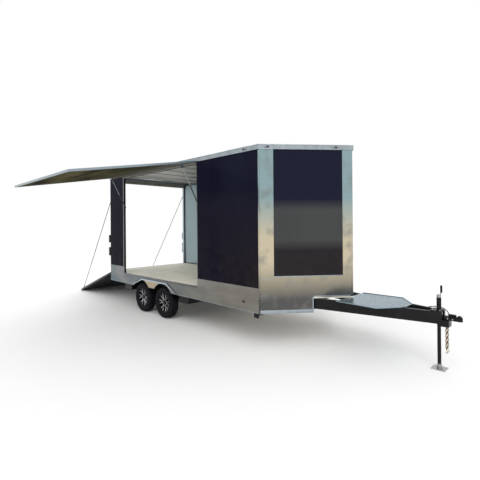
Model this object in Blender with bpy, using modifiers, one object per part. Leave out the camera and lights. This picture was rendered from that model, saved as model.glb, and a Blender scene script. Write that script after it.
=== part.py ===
"""An enclosed cargo trailer with a V nose, a lifting side door and a rear ramp door.

All lengths are in metres. +X points to the coupler, +Y to the street side and +Z up.
The origin is the centre of the tongue jack's foot, on the ground.
"""

from math import asin, atan, atan2, ceil, cos, degrees, hypot, pi, radians, sin

import bmesh
import bpy
from mathutils import Matrix, Vector

# Gaps
SEAT_GAP = 0.0003
PIN_GAP = 0.0005
SWING_GAP = 0.005
WELD_DEPTH = 0.004
CUT_OVERRUN = 0.010

# Body
BODY_LENGTH = 5.486
BODY_WIDTH = 2.590
NOSE_DEPTH = 1.034
JACK_TO_BODY = 2.356
SKIRT_BOTTOM = 0.616
SKIRT_TOP = 1.045
FLOOR_TOP = 0.877
DECK_THICKNESS = 0.019
WALL_THICKNESS = 0.050
SKIN_THICKNESS = 0.006
ROOF_EDGE_HEIGHT = 3.496
EDGE_TRIM_HEIGHT = 0.085
EDGE_TRIM_PROUD = 0.012
ROOF_CROWN = 0.050
ROOF_THICKNESS = 0.030

# Nose faces, measured along the face from the body's corner
CORNER_STRIP_WIDTH = 0.250
NOSE_STRIP_WIDTH = 0.192
NOSE_PANEL_BOTTOM = 1.240
NOTCH_SHARE = 0.567
NOTCH_HEIGHT = 0.878
NOSE_TIP_RADIUS = 0.045

# Side opening and its lifting door
SIDE_OPENING_SETBACK = 1.667
SIDE_OPENING_LENGTH = 3.040
SIDE_OPENING_TOP = 3.367
DOOR_THICKNESS = 0.040
DOOR_LAP = 0.025
DOOR_BOTTOM = 0.845
DOOR_FRAME_WIDTH = 0.070
DOOR_FRAME_LIP = 0.006
DOOR_HINGE_HEIGHT = 3.398
DOOR_HINGE_PROUD = 0.008
KNUCKLE_RADIUS = 0.007
DOOR_DROOP = radians(9.7)

# Gas struts of the lifting door
STRUT_INSET = 0.030
STRUT_FOOT_HEIGHT = 2.600
STRUT_FOOT_DEPTH = 0.033
STRUT_HEAD_REACH = 0.330
STRUT_HEAD_DEPTH = 0.090
STRUT_BODY_RADIUS = 0.012
STRUT_BODY_SHARE = 0.484
STRUT_ROD_RADIUS = 0.005
STRUT_ROD_SHARE = 0.516
STRUT_EYE_RADIUS = 0.013
STRUT_EYE_WIDTH = 0.016
STRUT_PIN_RADIUS = 0.006
STRUT_LUG_THICKNESS = 0.006
STRUT_LUG_HALF = 0.020

# Rear frame and ramp door
POST_WIDTH = 0.045
POST_DEPTH = 0.060
REAR_HEADER_BOTTOM = 3.326
KEEPER_REACH = 0.080
KEEPER_WIDTH = 0.040
KEEPER_SPANS = ((1.220, 1.540), (1.650, 1.870))
TAIL_LAMP_SPAN = (0.985, 1.150)
TAIL_LAMP_REACH = 0.022
MARKER_LENGTH = 0.100
MARKER_HEIGHT = 0.030
MARKER_REACH = 0.020
MARKER_CORNER_SETBACK = 0.326
MARKER_REAR_SETBACK = 0.200
MARKER_REAR_PITCH = 0.150
MARKER_NOSE_SHARES = (0.090, 0.811)
RAMP_LENGTH = 2.490
RAMP_SIDE_INSET = 0.055
RAMP_THICKNESS = 0.050
RAMP_FLAP_LENGTH = 0.160
RAMP_FLAP_TIP = 0.010
RAMP_HINGE_HEIGHT = 0.845
RAMP_KNUCKLE_RADIUS = 0.016
RAMP_KNUCKLE_COUNT = 5
RAMP_EYE_SETBACK = 0.110
RAMP_EYE_INSET = 0.012
CABLE_RADIUS = 0.004
CABLE_TOP_HEIGHT = 3.047
CABLE_LUG_LENGTH = 0.050
CABLE_LUG_THICKNESS = 0.010

# Chassis
RAIL_INSET = 0.315
RAIL_WIDTH = 0.051
RAIL_BOTTOM = 0.665
CROSS_HEIGHT = 0.076
CROSS_WIDTH = 0.051
CROSS_PITCH = 0.610
SUBFRAME_BOTTOM = 0.452
SUBFRAME_FRONT_GAP = 0.217
SUBFRAME_REAR_GAP = 0.231
SUBFRAME_INSET = 0.065
SUBFRAME_BEAM_LENGTH = 0.330

# Tongue
TONGUE_TOP = 0.853
TONGUE_HEIGHT = 0.178
TONGUE_BEAM_WIDTH = 0.051
TONGUE_HALF_AT_JACK = 0.103
TONGUE_SPREAD = 0.2357
TONGUE_FRONT = 0.060
NOSE_BLOCK_LENGTH = 0.085
NOSE_BLOCK_DROP = 0.035
PLATFORM_THICKNESS = 0.004
PLATFORM_RIM_HEIGHT = 0.012
PLATFORM_RIM_WIDTH = 0.014
PLATFORM_REAR = 1.386
PLATFORM_REAR_HALF = 0.500
PLATFORM_SIDE = 0.696
PLATFORM_SIDE_HALF = 0.540
PLATFORM_FRONT = 0.406
PLATFORM_FRONT_HALF = 0.140

# Coupler
COUPLER_DOME_X = 0.262
COUPLER_BOTTOM = 0.735
COUPLER_DECK = 0.790
COUPLER_REAR_HALF = 0.055
COUPLER_DOME_RADIUS = 0.040
BALL_SOCKET_RADIUS = 0.0295
LATCH_LENGTH = 0.100
LATCH_WIDTH = 0.030
LATCH_HEIGHT = 0.028

# Jack
JACK_TUBE_RADIUS = 0.0315
JACK_TUBE_BOTTOM = 0.650
JACK_TUBE_TOP = 1.052
JACK_LEG_RADIUS = 0.0250
JACK_LEG_TOP = 0.980
JACK_HEAD_HEIGHT = 0.034
JACK_FLANGE_HALF = 0.095
JACK_FLANGE_THICKNESS = 0.010
JACK_FOOT_HALF = 0.095
JACK_FOOT_THICKNESS = 0.008
JACK_SOCKET_RADIUS = 0.034
JACK_SOCKET_HEIGHT = 0.060
CRANK_RADIUS = 0.008
CRANK_REACH = 0.120
CRANK_RISE = 0.035
CRANK_GRIP_RADIUS = 0.014
CRANK_GRIP_LENGTH = 0.101

# Chains and wiring lead
CHAIN_WIRE_RADIUS = 0.0045
CHAIN_LINK_LENGTH = 0.048
CHAIN_LINK_WIDTH = 0.031
CHAIN_LINKS = 9
CHAIN_HALF_GAP = 0.034
LEAD_RADIUS = 0.006
LEAD_ROUTE = (
    (-0.125, -0.107, 0.8533),
    (-0.125, -0.107, 0.875),
    (-0.107, -0.111, 0.905),
    (-0.070, -0.114, 0.920),
    (-0.020, -0.112, 0.928),
    (0.035, -0.102, 0.927),
    (0.080, -0.083, 0.912),
    (0.112, -0.060, 0.884),
    (0.130, -0.042, 0.850),
    (0.139, -0.031, 0.816),
    (0.139, -0.031, 0.7903),
)

# Wheels
TYRE_RADIUS = 0.352
TYRE_WIDTH = 0.210
TYRE_INSET = 0.025
TREAD_CROWN = 0.006
RIM_RADIUS = 0.205
RIM_WALL = 0.008
RIM_WIDTH = 0.175
SPOKE_COUNT = 6
SPOKE_TWIN_ANGLE = radians(13)
SPOKE_WIDTH = 0.019
SPOKE_DEPTH = 0.022
SPOKE_INSET = 0.022
HUB_RADIUS = 0.085
HUB_CAP_RADIUS = 0.030
HUB_CAP_HEIGHT = 0.014
FRONT_AXLE_SETBACK = 2.949
AXLE_SPACING = 0.908
ARCH_RADIUS = 0.440
ARCH_BIT_BOTTOM = 0.637
FLARE_FRONT_FOOT = 0.560
FLARE_FRONT_TOP = 0.197
FLARE_REAR_TOP = 0.050
FLARE_REAR_FOOT = 0.413
FLARE_TOP = 0.820
FLARE_WIDTH = 0.024
FLARE_PROUD = 0.020

# Axles
AXLE_HALF_HEIGHT = 0.036
AXLE_TUBE_RISE = 0.062
AXLE_TUBE_LEAD = 0.150
ARM_HALF_HEIGHT = 0.026
ARM_WIDTH = 0.032
ARM_SETBACK = 0.141
SPINDLE_RADIUS = 0.020
DRUM_RADIUS = 0.140
DRUM_WIDTH = 0.050

# Front stabilisers
STABILISER_SETBACK = 0.160
STABILISER_INSET = 0.495
STABILISER_PIVOT_HEIGHT = 0.560
STABILISER_LENGTH = 0.400
STABILISER_TUBE = 0.045
STABILISER_FOOT_HALF = 0.055
STABILISER_FOOT_THICKNESS = 0.008
STABILISER_CHEEK = 0.008
STABILISER_PIN_RADIUS = 0.008

# Roof air conditioner
COOLER_CENTRE_SETBACK = 1.470
COOLER_LENGTH = 0.950
COOLER_WIDTH = 0.720
COOLER_HEIGHT = 0.225
COOLER_BASE = 0.030
COOLER_SLOPE = 0.110
COOLER_EDGE = 0.030
LOUVRE_COUNT = 6
LOUVRE_WIDTH = 0.012
LOUVRE_DEPTH = 0.008

# Places worked out from the sizes above
HALF_WIDTH = BODY_WIDTH / 2
CORNER_X = -JACK_TO_BODY
REAR_X = CORNER_X - BODY_LENGTH
NOSE_X = CORNER_X + NOSE_DEPTH
NOSE_FACE_LENGTH = hypot(NOSE_DEPTH, HALF_WIDTH)
NOSE_PANEL_END = NOSE_FACE_LENGTH - NOSE_STRIP_WIDTH
NOTCH_START = NOSE_FACE_LENGTH * NOTCH_SHARE
DECK_BOTTOM = FLOOR_TOP - DECK_THICKNESS
WALL_TOP = ROOF_EDGE_HEIGHT - EDGE_TRIM_HEIGHT
WALL_FOOT = FLOOR_TOP + SEAT_GAP
OPENING_FRONT_X = CORNER_X - SIDE_OPENING_SETBACK
OPENING_REAR_X = OPENING_FRONT_X - SIDE_OPENING_LENGTH
AXLE_X = (CORNER_X - FRONT_AXLE_SETBACK, CORNER_X - FRONT_AXLE_SETBACK - AXLE_SPACING)
WHEEL_MIDDLE = HALF_WIDTH - TYRE_INSET - TYRE_WIDTH / 2
ARM_FACE = WHEEL_MIDDLE - ARM_SETBACK
RAIL_HALF_TRACK = HALF_WIDTH - RAIL_INSET
SUBFRAME_HALF_WIDTH = HALF_WIDTH - SUBFRAME_INSET
CROSS_BOTTOM = DECK_BOTTOM - SEAT_GAP - CROSS_HEIGHT
SILL_FRONT_X = REAR_X + POST_DEPTH + SEAT_GAP
FRONT_BEAM_X = AXLE_X[0] + TYRE_RADIUS + SUBFRAME_FRONT_GAP
REAR_BEAM_X = AXLE_X[1] - TYRE_RADIUS - SUBFRAME_REAR_GAP
STABILISER_PIVOT_HALF = HALF_WIDTH - STABILISER_INSET
RAMP_HALF_WIDTH = HALF_WIDTH - WALL_THICKNESS - RAMP_SIDE_INSET
DOOR_HINGE = Vector((0, -HALF_WIDTH - DOOR_HINGE_PROUD, DOOR_HINGE_HEIGHT))
DOOR_SWING = pi / 2 - DOOR_DROOP
RAMP_HINGE = Vector((REAR_X - SWING_GAP - RAMP_THICKNESS / 2, 0, RAMP_HINGE_HEIGHT))
RAMP_REACH = hypot(RAMP_LENGTH, RAMP_THICKNESS / 2)
RAMP_SLOPE = asin(RAMP_HINGE_HEIGHT / RAMP_REACH) - atan(RAMP_THICKNESS / 2 / RAMP_LENGTH)

SIDES = {"street": 1, "curb": -1}
ROUND = 32


def fresh_scene(name):
    """Empty the scene and give it the trailer's collection."""
    for thing in list(bpy.data.objects):
        bpy.data.objects.remove(thing)
    home = bpy.data.collections.new(name)
    bpy.context.scene.collection.children.link(home)
    return home


HOME = fresh_scene("cargo_trailer")


def paint(name, colour, roughness, metallic=0.0):
    """A plain Principled material."""
    material = bpy.data.materials.new(name)
    material.use_nodes = True
    shader = material.node_tree.nodes["Principled BSDF"]
    shader.inputs["Base Color"].default_value = (*colour, 1)
    shader.inputs["Roughness"].default_value = roughness
    shader.inputs["Metallic"].default_value = metallic
    return material


PAINTS = {
    "panel": paint("indigo_panel", (0.014, 0.013, 0.026), 0.15),
    "bright": paint("polished_metal", (0.62, 0.64, 0.66), 0.15, 1.0),
    "trim": paint("trim_metal", (0.42, 0.47, 0.50), 0.35, 1.0),
    "black": paint("black_paint", (0.012, 0.012, 0.013), 0.3),
    "roof": paint("roof_sheet", (0.55, 0.57, 0.58), 0.45, 1.0),
    "plywood": paint("plywood", (0.62, 0.55, 0.42), 0.6),
    "rubber": paint("tyre_rubber", (0.012, 0.012, 0.012), 0.8),
    "alloy": paint("alloy", (0.30, 0.30, 0.31), 0.3, 1.0),
    "zinc": paint("zinc_plate", (0.45, 0.45, 0.43), 0.4, 1.0),
    "plastic": paint("white_plastic", (0.70, 0.70, 0.68), 0.5),
    "cable": paint("steel_cable", (0.30, 0.30, 0.31), 0.4, 1.0),
    "chain": paint("chain_steel", (0.40, 0.32, 0.16), 0.4, 1.0),
}


def add_object(name, mesh):
    thing = bpy.data.objects.new(name, mesh)
    HOME.objects.link(thing)
    return thing


def mesh_from(name, work):
    """Turn a bmesh into an object's mesh, with its faces pointing out."""
    bmesh.ops.recalc_face_normals(work, faces=work.faces)
    mesh = bpy.data.meshes.new(name)
    work.to_mesh(mesh)
    work.free()
    return mesh


def evaluated(thing):
    """Replace an object's curve or modifiers by the mesh that they make, in world places."""
    graph = bpy.context.evaluated_depsgraph_get()
    mesh = bpy.data.meshes.new_from_object(thing.evaluated_get(graph))
    mesh.transform(thing.matrix_world)
    work = bmesh.new()
    work.from_mesh(mesh)
    bmesh.ops.remove_doubles(work, verts=work.verts, dist=SEAT_GAP / 10)
    name = thing.name
    bpy.data.objects.remove(thing)
    return add_object(name, mesh_from(name, work))


def block(name, low, high):
    """A box between two corners."""
    work = bmesh.new()
    bmesh.ops.create_cube(work, size=1)
    size = Vector(high) - Vector(low)
    middle = (Vector(high) + Vector(low)) / 2
    bmesh.ops.scale(work, vec=size, verts=work.verts)
    bmesh.ops.translate(work, vec=middle, verts=work.verts)
    return add_object(name, mesh_from(name, work))


def rod(name, start, end, radius, sides=16):
    """A cylinder between two points."""
    start, end = Vector(start), Vector(end)
    work = bmesh.new()
    bmesh.ops.create_cone(
        work, cap_ends=True, segments=sides, radius1=radius, radius2=radius, depth=(end - start).length
    )
    turn = Vector((0, 0, 1)).rotation_difference(end - start).to_matrix().to_4x4()
    bmesh.ops.transform(work, matrix=Matrix.Translation((start + end) / 2) @ turn, verts=work.verts)
    return add_object(name, mesh_from(name, work))


def ball(name, middle, radius, sides=16):
    work = bmesh.new()
    bmesh.ops.create_uvsphere(work, u_segments=sides, v_segments=sides // 2, radius=radius)
    bmesh.ops.translate(work, vec=middle, verts=work.verts)
    return add_object(name, mesh_from(name, work))


def sheet(name, outline, frame, near, far, holes=()):
    """A flat outline given thickness: near and far are heights along the frame's third axis."""
    curve = bpy.data.curves.new(name, "CURVE")
    curve.dimensions = "2D"
    curve.fill_mode = "BOTH"
    curve.extrude = (far - near) / 2
    for ring in (outline, *holes):
        spline = curve.splines.new("POLY")
        spline.points.add(len(ring) - 1)
        for point, (across, up) in zip(spline.points, ring):
            point.co = (across, up, 0, 1)
        spline.use_cyclic_u = True
    thing = add_object(name, curve)
    thing.matrix_world = frame @ Matrix.Translation((0, 0, (near + far) / 2))
    bpy.context.view_layer.update()
    return evaluated(thing)


def axes(origin, across, up):
    """A frame from an origin and its first two directions."""
    across, up = Vector(across).normalized(), Vector(up).normalized()
    frame = Matrix((across, up, across.cross(up))).transposed().to_4x4()
    frame.translation = Vector(origin)
    return frame


PLAN = axes((0, 0, 0), (1, 0, 0), (0, 1, 0))


def side_frame(side):
    """Seen from outside: across is +X on both sides, and depth runs out from the side's wall."""
    if side < 0:
        return axes((0, -HALF_WIDTH, 0), (1, 0, 0), (0, 0, 1))
    return axes((0, HALF_WIDTH, 0), (1, 0, 0), (0, 0, 1)) @ Matrix.Diagonal((1, 1, -1, 1))


def nose_along(side):
    return Vector((NOSE_DEPTH, -side * HALF_WIDTH, 0)).normalized()


def nose_out(side):
    return Vector((HALF_WIDTH, side * NOSE_DEPTH, 0)).normalized()


def nose_frame(side):
    """Across runs along the nose face from the body's corner, and depth runs out."""
    frame = Matrix((nose_along(side), Vector((0, 0, 1)), nose_out(side))).transposed().to_4x4()
    frame.translation = Vector((CORNER_X, side * HALF_WIDTH, 0))
    return frame


def nose_point(side, along, inward):
    """A plan point on the nose face, some way in from its outer surface."""
    point = Vector((CORNER_X, side * HALF_WIDTH, 0)) + nose_along(side) * along - nose_out(side) * inward
    return (point.x, point.y)


def nose_line_at_x(side, inward, x):
    """Where the nose face, moved inward, crosses a place along the body."""
    start, step = nose_point(side, 0, inward), nose_along(side)
    return (x, start[1] + step.y * (x - start[0]) / step.x)


def nose_line_at_y(side, inward, y):
    start, step = nose_point(side, 0, inward), nose_along(side)
    return (start[0] + step.x * (y - start[1]) / step.y, y)


def fuse(name, pieces):
    """Join overlapping solids into one closed body."""
    base, *others = pieces
    for other in others:
        step = base.modifiers.new("join", "BOOLEAN")
        step.operation = "UNION"
        step.object = other
        base = evaluated(base)
        bpy.data.objects.remove(other)
    base.name = name
    return base


def carve(base, cutters):
    """Cut solids out of a body."""
    for cutter in cutters:
        step = base.modifiers.new("cut", "BOOLEAN")
        step.operation = "DIFFERENCE"
        step.object = cutter
        base = evaluated(base)
        bpy.data.objects.remove(cutter)
    return base


def soften(thing, width, segments=2):
    """Round an object's edges."""
    bevel = thing.modifiers.new("edge", "BEVEL")
    bevel.width = width
    bevel.segments = segments
    bevel.limit_method = "ANGLE"
    return evaluated(thing)


def wire(name, points, radius, resolution=2, closed=False):
    """A tube through a list of points."""
    curve = bpy.data.curves.new(name, "CURVE")
    curve.dimensions = "3D"
    curve.bevel_depth = radius
    curve.bevel_resolution = resolution
    curve.use_fill_caps = not closed
    spline = curve.splines.new("POLY")
    spline.points.add(len(points) - 1)
    for point, place in zip(spline.points, points):
        point.co = (*place, 1)
    spline.use_cyclic_u = closed
    return evaluated(add_object(name, curve))


def turned(name, profile, steps=ROUND):
    """A closed profile of (radius, height) turned about Z."""
    work = bmesh.new()
    ring = [work.verts.new((radius, 0, height)) for radius, height in profile]
    for here, there in zip(ring, ring[1:] + ring[:1]):
        work.edges.new((here, there))
    mesh = bpy.data.meshes.new(name)
    work.to_mesh(mesh)
    work.free()
    thing = add_object(name, mesh)
    screw = thing.modifiers.new("turn", "SCREW")
    screw.steps = steps
    screw.render_steps = steps
    screw.use_merge_vertices = True
    screw.merge_threshold = 0.0001
    return evaluated(thing)


def finish(thing, name, look, sharp=radians(35)):
    """Name a piece, paint it and shade it smooth."""
    thing.name = name
    thing.data.name = name
    thing.data.materials.clear()
    thing.data.materials.append(PAINTS[look])
    thing.data.shade_smooth()
    thing.data.set_sharp_from_angle(angle=sharp)
    return thing


def pivot(name, place, turn=None):
    """An empty on a joint's axis."""
    empty = add_object(name, None)
    empty.location = place
    if turn is not None:
        empty.rotation_euler = turn
    return empty


def hang(piece, empty):
    """Put a piece, drawn with its joint at the world's origin, under the joint's empty."""
    piece.parent = empty
    return piece


def body_plan(inset, rear):
    """The body's plan outline, moved inward by an inset, with its square rear edge at rear."""
    half = HALF_WIDTH - inset
    corners = [nose_line_at_y(side, inset, side * half) for side in (1, -1)]
    tip = (nose_line_at_y(1, inset, 0)[0], 0)
    return [(rear, half), corners[0], tip, corners[1], (rear, -half)]


def floor_deck():
    outline = body_plan(SKIN_THICKNESS + SEAT_GAP, REAR_X + POST_DEPTH + SEAT_GAP)
    deck = sheet("floor_deck", outline, PLAN, DECK_BOTTOM, FLOOR_TOP)
    finish(deck, "floor_deck", "plywood")


def tongue_line(x):
    """Half the spread of the tongue's outer faces at a place along it."""
    return TONGUE_HALF_AT_JACK - TONGUE_SPREAD * x


def tongue_plan(side, front, rear):
    """The plan of one tongue beam between two places along it."""
    return [
        (front, side * tongue_line(front)),
        (rear, side * tongue_line(rear)),
        (rear, side * (tongue_line(rear) - TONGUE_BEAM_WIDTH)),
        (front, side * (tongue_line(front) - TONGUE_BEAM_WIDTH)),
    ]


def notch_x():
    """The place along the trailer where the nose guard's notch begins."""
    return CORNER_X + nose_along(1).x * NOTCH_START


def floor_frame():
    """Cross members and edge tubes under the floor, with the nose's tubes and head member."""
    top = DECK_BOTTOM - SEAT_GAP
    head = notch_x()
    edge = HALF_WIDTH - SKIN_THICKNESS - SEAT_GAP
    head_half = edge - HALF_WIDTH * NOTCH_SHARE
    head_low = (head - CROSS_WIDTH, -head_half, CROSS_BOTTOM)
    pieces = [block("head_member", head_low, (head, head_half, top))]
    for side in SIDES.values():
        low_y, high_y = sorted((side * (edge - CROSS_WIDTH), side * (edge - SEAT_GAP)))
        pieces.append(block("edge_tube", (SILL_FRONT_X, low_y, CROSS_BOTTOM), (CORNER_X, high_y, top)))
        nose_tube = [
            (CORNER_X - 2 * WELD_DEPTH, side * (edge - 2 * WELD_DEPTH)),
            nose_line_at_x(side, SKIN_THICKNESS + SEAT_GAP, head - CROSS_WIDTH / 3),
            nose_line_at_x(side, SKIN_THICKNESS + CROSS_WIDTH, head - CROSS_WIDTH / 3),
            nose_line_at_x(side, SKIN_THICKNESS + CROSS_WIDTH, CORNER_X - CROSS_WIDTH),
        ]
        tube_foot, tube_top = CROSS_BOTTOM + WELD_DEPTH / 2, top - WELD_DEPTH / 4
        pieces.append(sheet("nose_tube", nose_tube, PLAN, tube_foot, tube_top))
    places = ceil((BODY_LENGTH - POST_DEPTH) / CROSS_PITCH)
    for index in range(places):
        x = CORNER_X - WELD_DEPTH / 2 - index * (BODY_LENGTH - CROSS_WIDTH) / places
        low = (x - CROSS_WIDTH, -edge + WELD_DEPTH, CROSS_BOTTOM + WELD_DEPTH / 8)
        pieces.append(block("cross_member", low, (x, edge - WELD_DEPTH, top - WELD_DEPTH / 8)))
    finish(fuse("floor_frame", pieces), "floor_frame", "black")


def main_rail(name, side):
    """One long rail, its deeper part over the axles and its tail towards the tongue."""
    meeting = (RAIL_HALF_TRACK - TONGUE_HALF_AT_JACK) / -TONGUE_SPREAD
    top = CROSS_BOTTOM - SEAT_GAP
    low_y, high_y = sorted((side * (RAIL_HALF_TRACK - RAIL_WIDTH), side * RAIL_HALF_TRACK))
    rail = block("rail", (SILL_FRONT_X, low_y, RAIL_BOTTOM), (meeting + CROSS_WIDTH / 2, high_y, top))
    tail_plan = tongue_plan(side, notch_x(), meeting - CROSS_WIDTH)
    tail = sheet("tail", tail_plan, PLAN, RAIL_BOTTOM + WELD_DEPTH, top - WELD_DEPTH / 4)
    drop_low = (REAR_BEAM_X + SEAT_GAP, low_y + WELD_DEPTH / 8, SUBFRAME_BOTTOM + WELD_DEPTH)
    drop_high = (FRONT_BEAM_X - SEAT_GAP, high_y - WELD_DEPTH / 8, RAIL_BOTTOM + WELD_DEPTH)
    drop = block("drop_rail", drop_low, drop_high)
    finish(fuse(name, [rail, tail, drop]), name, "black")


def rear_sill():
    """The rear sill under the ramp opening, with its half of the ramp hinge's barrels."""
    edge = HALF_WIDTH - SKIN_THICKNESS - SEAT_GAP
    sill_high = (REAR_X + POST_DEPTH, edge, FLOOR_TOP)
    sill = block("sill", (REAR_X, -edge, RAIL_BOTTOM), sill_high)
    finish(fuse("rear_sill", [sill, *sill_knuckles()]), "rear_sill", "black")


def sill_knuckles():
    """The ramp hinge's barrels on the rear sill, between those of the ramp."""
    pieces = []
    pitch = 2 * RAMP_HALF_WIDTH / RAMP_KNUCKLE_COUNT
    for index in range(1, RAMP_KNUCKLE_COUNT):
        y = -RAMP_HALF_WIDTH + pitch * index
        reach = pitch / 4 - PIN_GAP
        start, end = (RAMP_HINGE.x, y - reach, RAMP_HINGE.z), (RAMP_HINGE.x, y + reach, RAMP_HINGE.z)
        pieces.append(rod("sill_barrel", start, end, RAMP_KNUCKLE_RADIUS, 12))
        half = RAMP_KNUCKLE_RADIUS / 2
        low = (RAMP_HINGE.x, y - reach + WELD_DEPTH, RAMP_HINGE.z - half)
        high = (REAR_X + WELD_DEPTH, y + reach - WELD_DEPTH, RAMP_HINGE.z + half)
        pieces.append(block("sill_strap", low, high))
    return pieces


def drop_beam(name, rear):
    """A wide open beam below the rails, before or behind the axles."""
    low = (rear, -SUBFRAME_HALF_WIDTH, SUBFRAME_BOTTOM)
    high = (rear + SUBFRAME_BEAM_LENGTH, SUBFRAME_HALF_WIDTH, RAIL_BOTTOM - SEAT_GAP)
    inner = RAIL_HALF_TRACK - RAIL_WIDTH
    pocket_low = (rear + CROSS_WIDTH, -inner, SUBFRAME_BOTTOM - CUT_OVERRUN)
    pocket_high = (high[0] - CROSS_WIDTH, inner, high[2] + CUT_OVERRUN)
    beam = carve(block(name, low, high), [block("beam_pocket", pocket_low, pocket_high)])
    finish(beam, name, "black")


def stabiliser_bracket(name, side):
    """Two cheeks under the front cross member that hold a stabiliser leg's pin."""
    top = CROSS_BOTTOM - SEAT_GAP
    middle = CORNER_X - STABILISER_SETBACK
    inner = STABILISER_TUBE / 2 + PIN_GAP
    outer = inner + STABILISER_CHEEK
    half = STABILISER_TUBE
    y = side * STABILISER_PIVOT_HALF
    bar_low = (middle - outer - half, y - half + WELD_DEPTH, top - 2 * WELD_DEPTH)
    pieces = [block("bar", bar_low, (CORNER_X - WELD_DEPTH, y + half - WELD_DEPTH, top))]
    for low_x, high_x in ((middle - outer, middle - inner), (middle + inner, middle + outer)):
        low = (low_x, y - half, STABILISER_PIVOT_HEIGHT - STABILISER_TUBE / 2)
        pieces.append(block("cheek", low, (high_x, y + half, top - WELD_DEPTH)))
    pin_start = (middle - outer + WELD_DEPTH / 2, y, STABILISER_PIVOT_HEIGHT)
    pin_end = (middle + outer - WELD_DEPTH / 2, y, STABILISER_PIVOT_HEIGHT)
    pieces.append(rod("cheek_pin", pin_start, pin_end, STABILISER_PIN_RADIUS))
    finish(fuse(name, pieces), name, "black")


def stabiliser_leg(name, side):
    """A folding leg with its foot, lying stowed under the front of the floor."""
    half = STABILISER_TUBE / 2
    low_y, high_y = sorted((-side * half, side * STABILISER_LENGTH))
    leg = block("leg", (-half, low_y, -half), (half, high_y, half))
    end = side * (STABILISER_LENGTH - WELD_DEPTH)
    tip = end + side * STABILISER_FOOT_THICKNESS
    low_y, high_y = sorted((end, tip))
    foot_half = STABILISER_FOOT_HALF
    foot = block("foot", (-foot_half, low_y, -foot_half), (foot_half, high_y, foot_half))
    leg = fuse(name, [leg, foot])
    hole = rod("pin_hole", (-foot_half, 0, 0), (foot_half, 0, 0), STABILISER_PIN_RADIUS + PIN_GAP)
    leg = carve(leg, [hole])
    place = (CORNER_X - STABILISER_SETBACK, side * STABILISER_PIVOT_HALF, STABILISER_PIVOT_HEIGHT)
    hang(finish(leg, name, "black"), pivot(name + "_pivot", place))


def side_wall(name, side, rear, front):
    """A wall between two places, with a recess outside its foot for the skirt."""
    inner = -WALL_THICKNESS
    skirt = -SKIN_THICKNESS - SEAT_GAP
    outline = [
        (inner, WALL_FOOT),
        (skirt, WALL_FOOT),
        (skirt, SKIRT_TOP + SEAT_GAP),
        (0, SKIRT_TOP + SEAT_GAP),
        (0, WALL_TOP - SEAT_GAP),
        (inner, WALL_TOP - SEAT_GAP),
    ]
    across = (0, side, 0)
    frame = axes((0, side * HALF_WIDTH, 0), across, (0, 0, 1))
    near, far = sorted((side * rear, side * front))
    return sheet(name, outline, frame, near, far)


def walls():
    finish(side_wall("wall_street", 1, REAR_X, CORNER_X), "wall_street", "panel")
    front = side_wall("wall_curb_front", -1, OPENING_FRONT_X, CORNER_X)
    rear = side_wall("wall_curb_rear", -1, REAR_X, OPENING_REAR_X)
    front = fuse("wall_curb_front", [front, strut_pin(OPENING_FRONT_X, -1)])
    rear = fuse("wall_curb_rear", [rear, strut_pin(OPENING_REAR_X, 1)])
    finish(front, "wall_curb_front", "panel")
    finish(rear, "wall_curb_rear", "panel")
    low = (OPENING_REAR_X + SEAT_GAP, -HALF_WIDTH, SIDE_OPENING_TOP)
    high = (OPENING_FRONT_X - SEAT_GAP, -HALF_WIDTH + WALL_THICKNESS, WALL_TOP - SEAT_GAP)
    header = block("curb_header", low, high)
    knuckle_start = (low[0] + WELD_DEPTH, DOOR_HINGE.y, DOOR_HINGE.z)
    knuckle_end = (high[0] - WELD_DEPTH, DOOR_HINGE.y, DOOR_HINGE.z)
    knuckle = rod("knuckle", knuckle_start, knuckle_end, KNUCKLE_RADIUS, 12)
    leaf_low = (knuckle_start[0], DOOR_HINGE.y, DOOR_HINGE.z)
    leaf_high = (knuckle_end[0], -HALF_WIDTH + WELD_DEPTH, DOOR_HINGE.z + KNUCKLE_RADIUS / 2)
    leaf = block("leaf", leaf_low, leaf_high)
    finish(fuse("curb_header", [header, leaf, knuckle]), "curb_header", "trim")


def strut_foot_y():
    return -HALF_WIDTH + STRUT_FOOT_DEPTH


def strut_pin(jamb_x, inward):
    """The pin on a door jamb that a gas strut's foot turns on."""
    start = (jamb_x - inward * WELD_DEPTH, strut_foot_y(), STRUT_FOOT_HEIGHT)
    reach = STRUT_INSET + STRUT_EYE_WIDTH / 2
    end = (jamb_x + inward * reach, strut_foot_y(), STRUT_FOOT_HEIGHT)
    return rod("strut_pin", start, end, STRUT_PIN_RADIUS, 12)


def nose_tip_turn():
    """The angle between a nose face's normal and the trailer's length."""
    return atan2(NOSE_DEPTH, HALF_WIDTH)


def nose_tip_centre():
    """Where the rounded nose edge has its centre, along the trailer."""
    return NOSE_X - NOSE_TIP_RADIUS / cos(nose_tip_turn())


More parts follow.
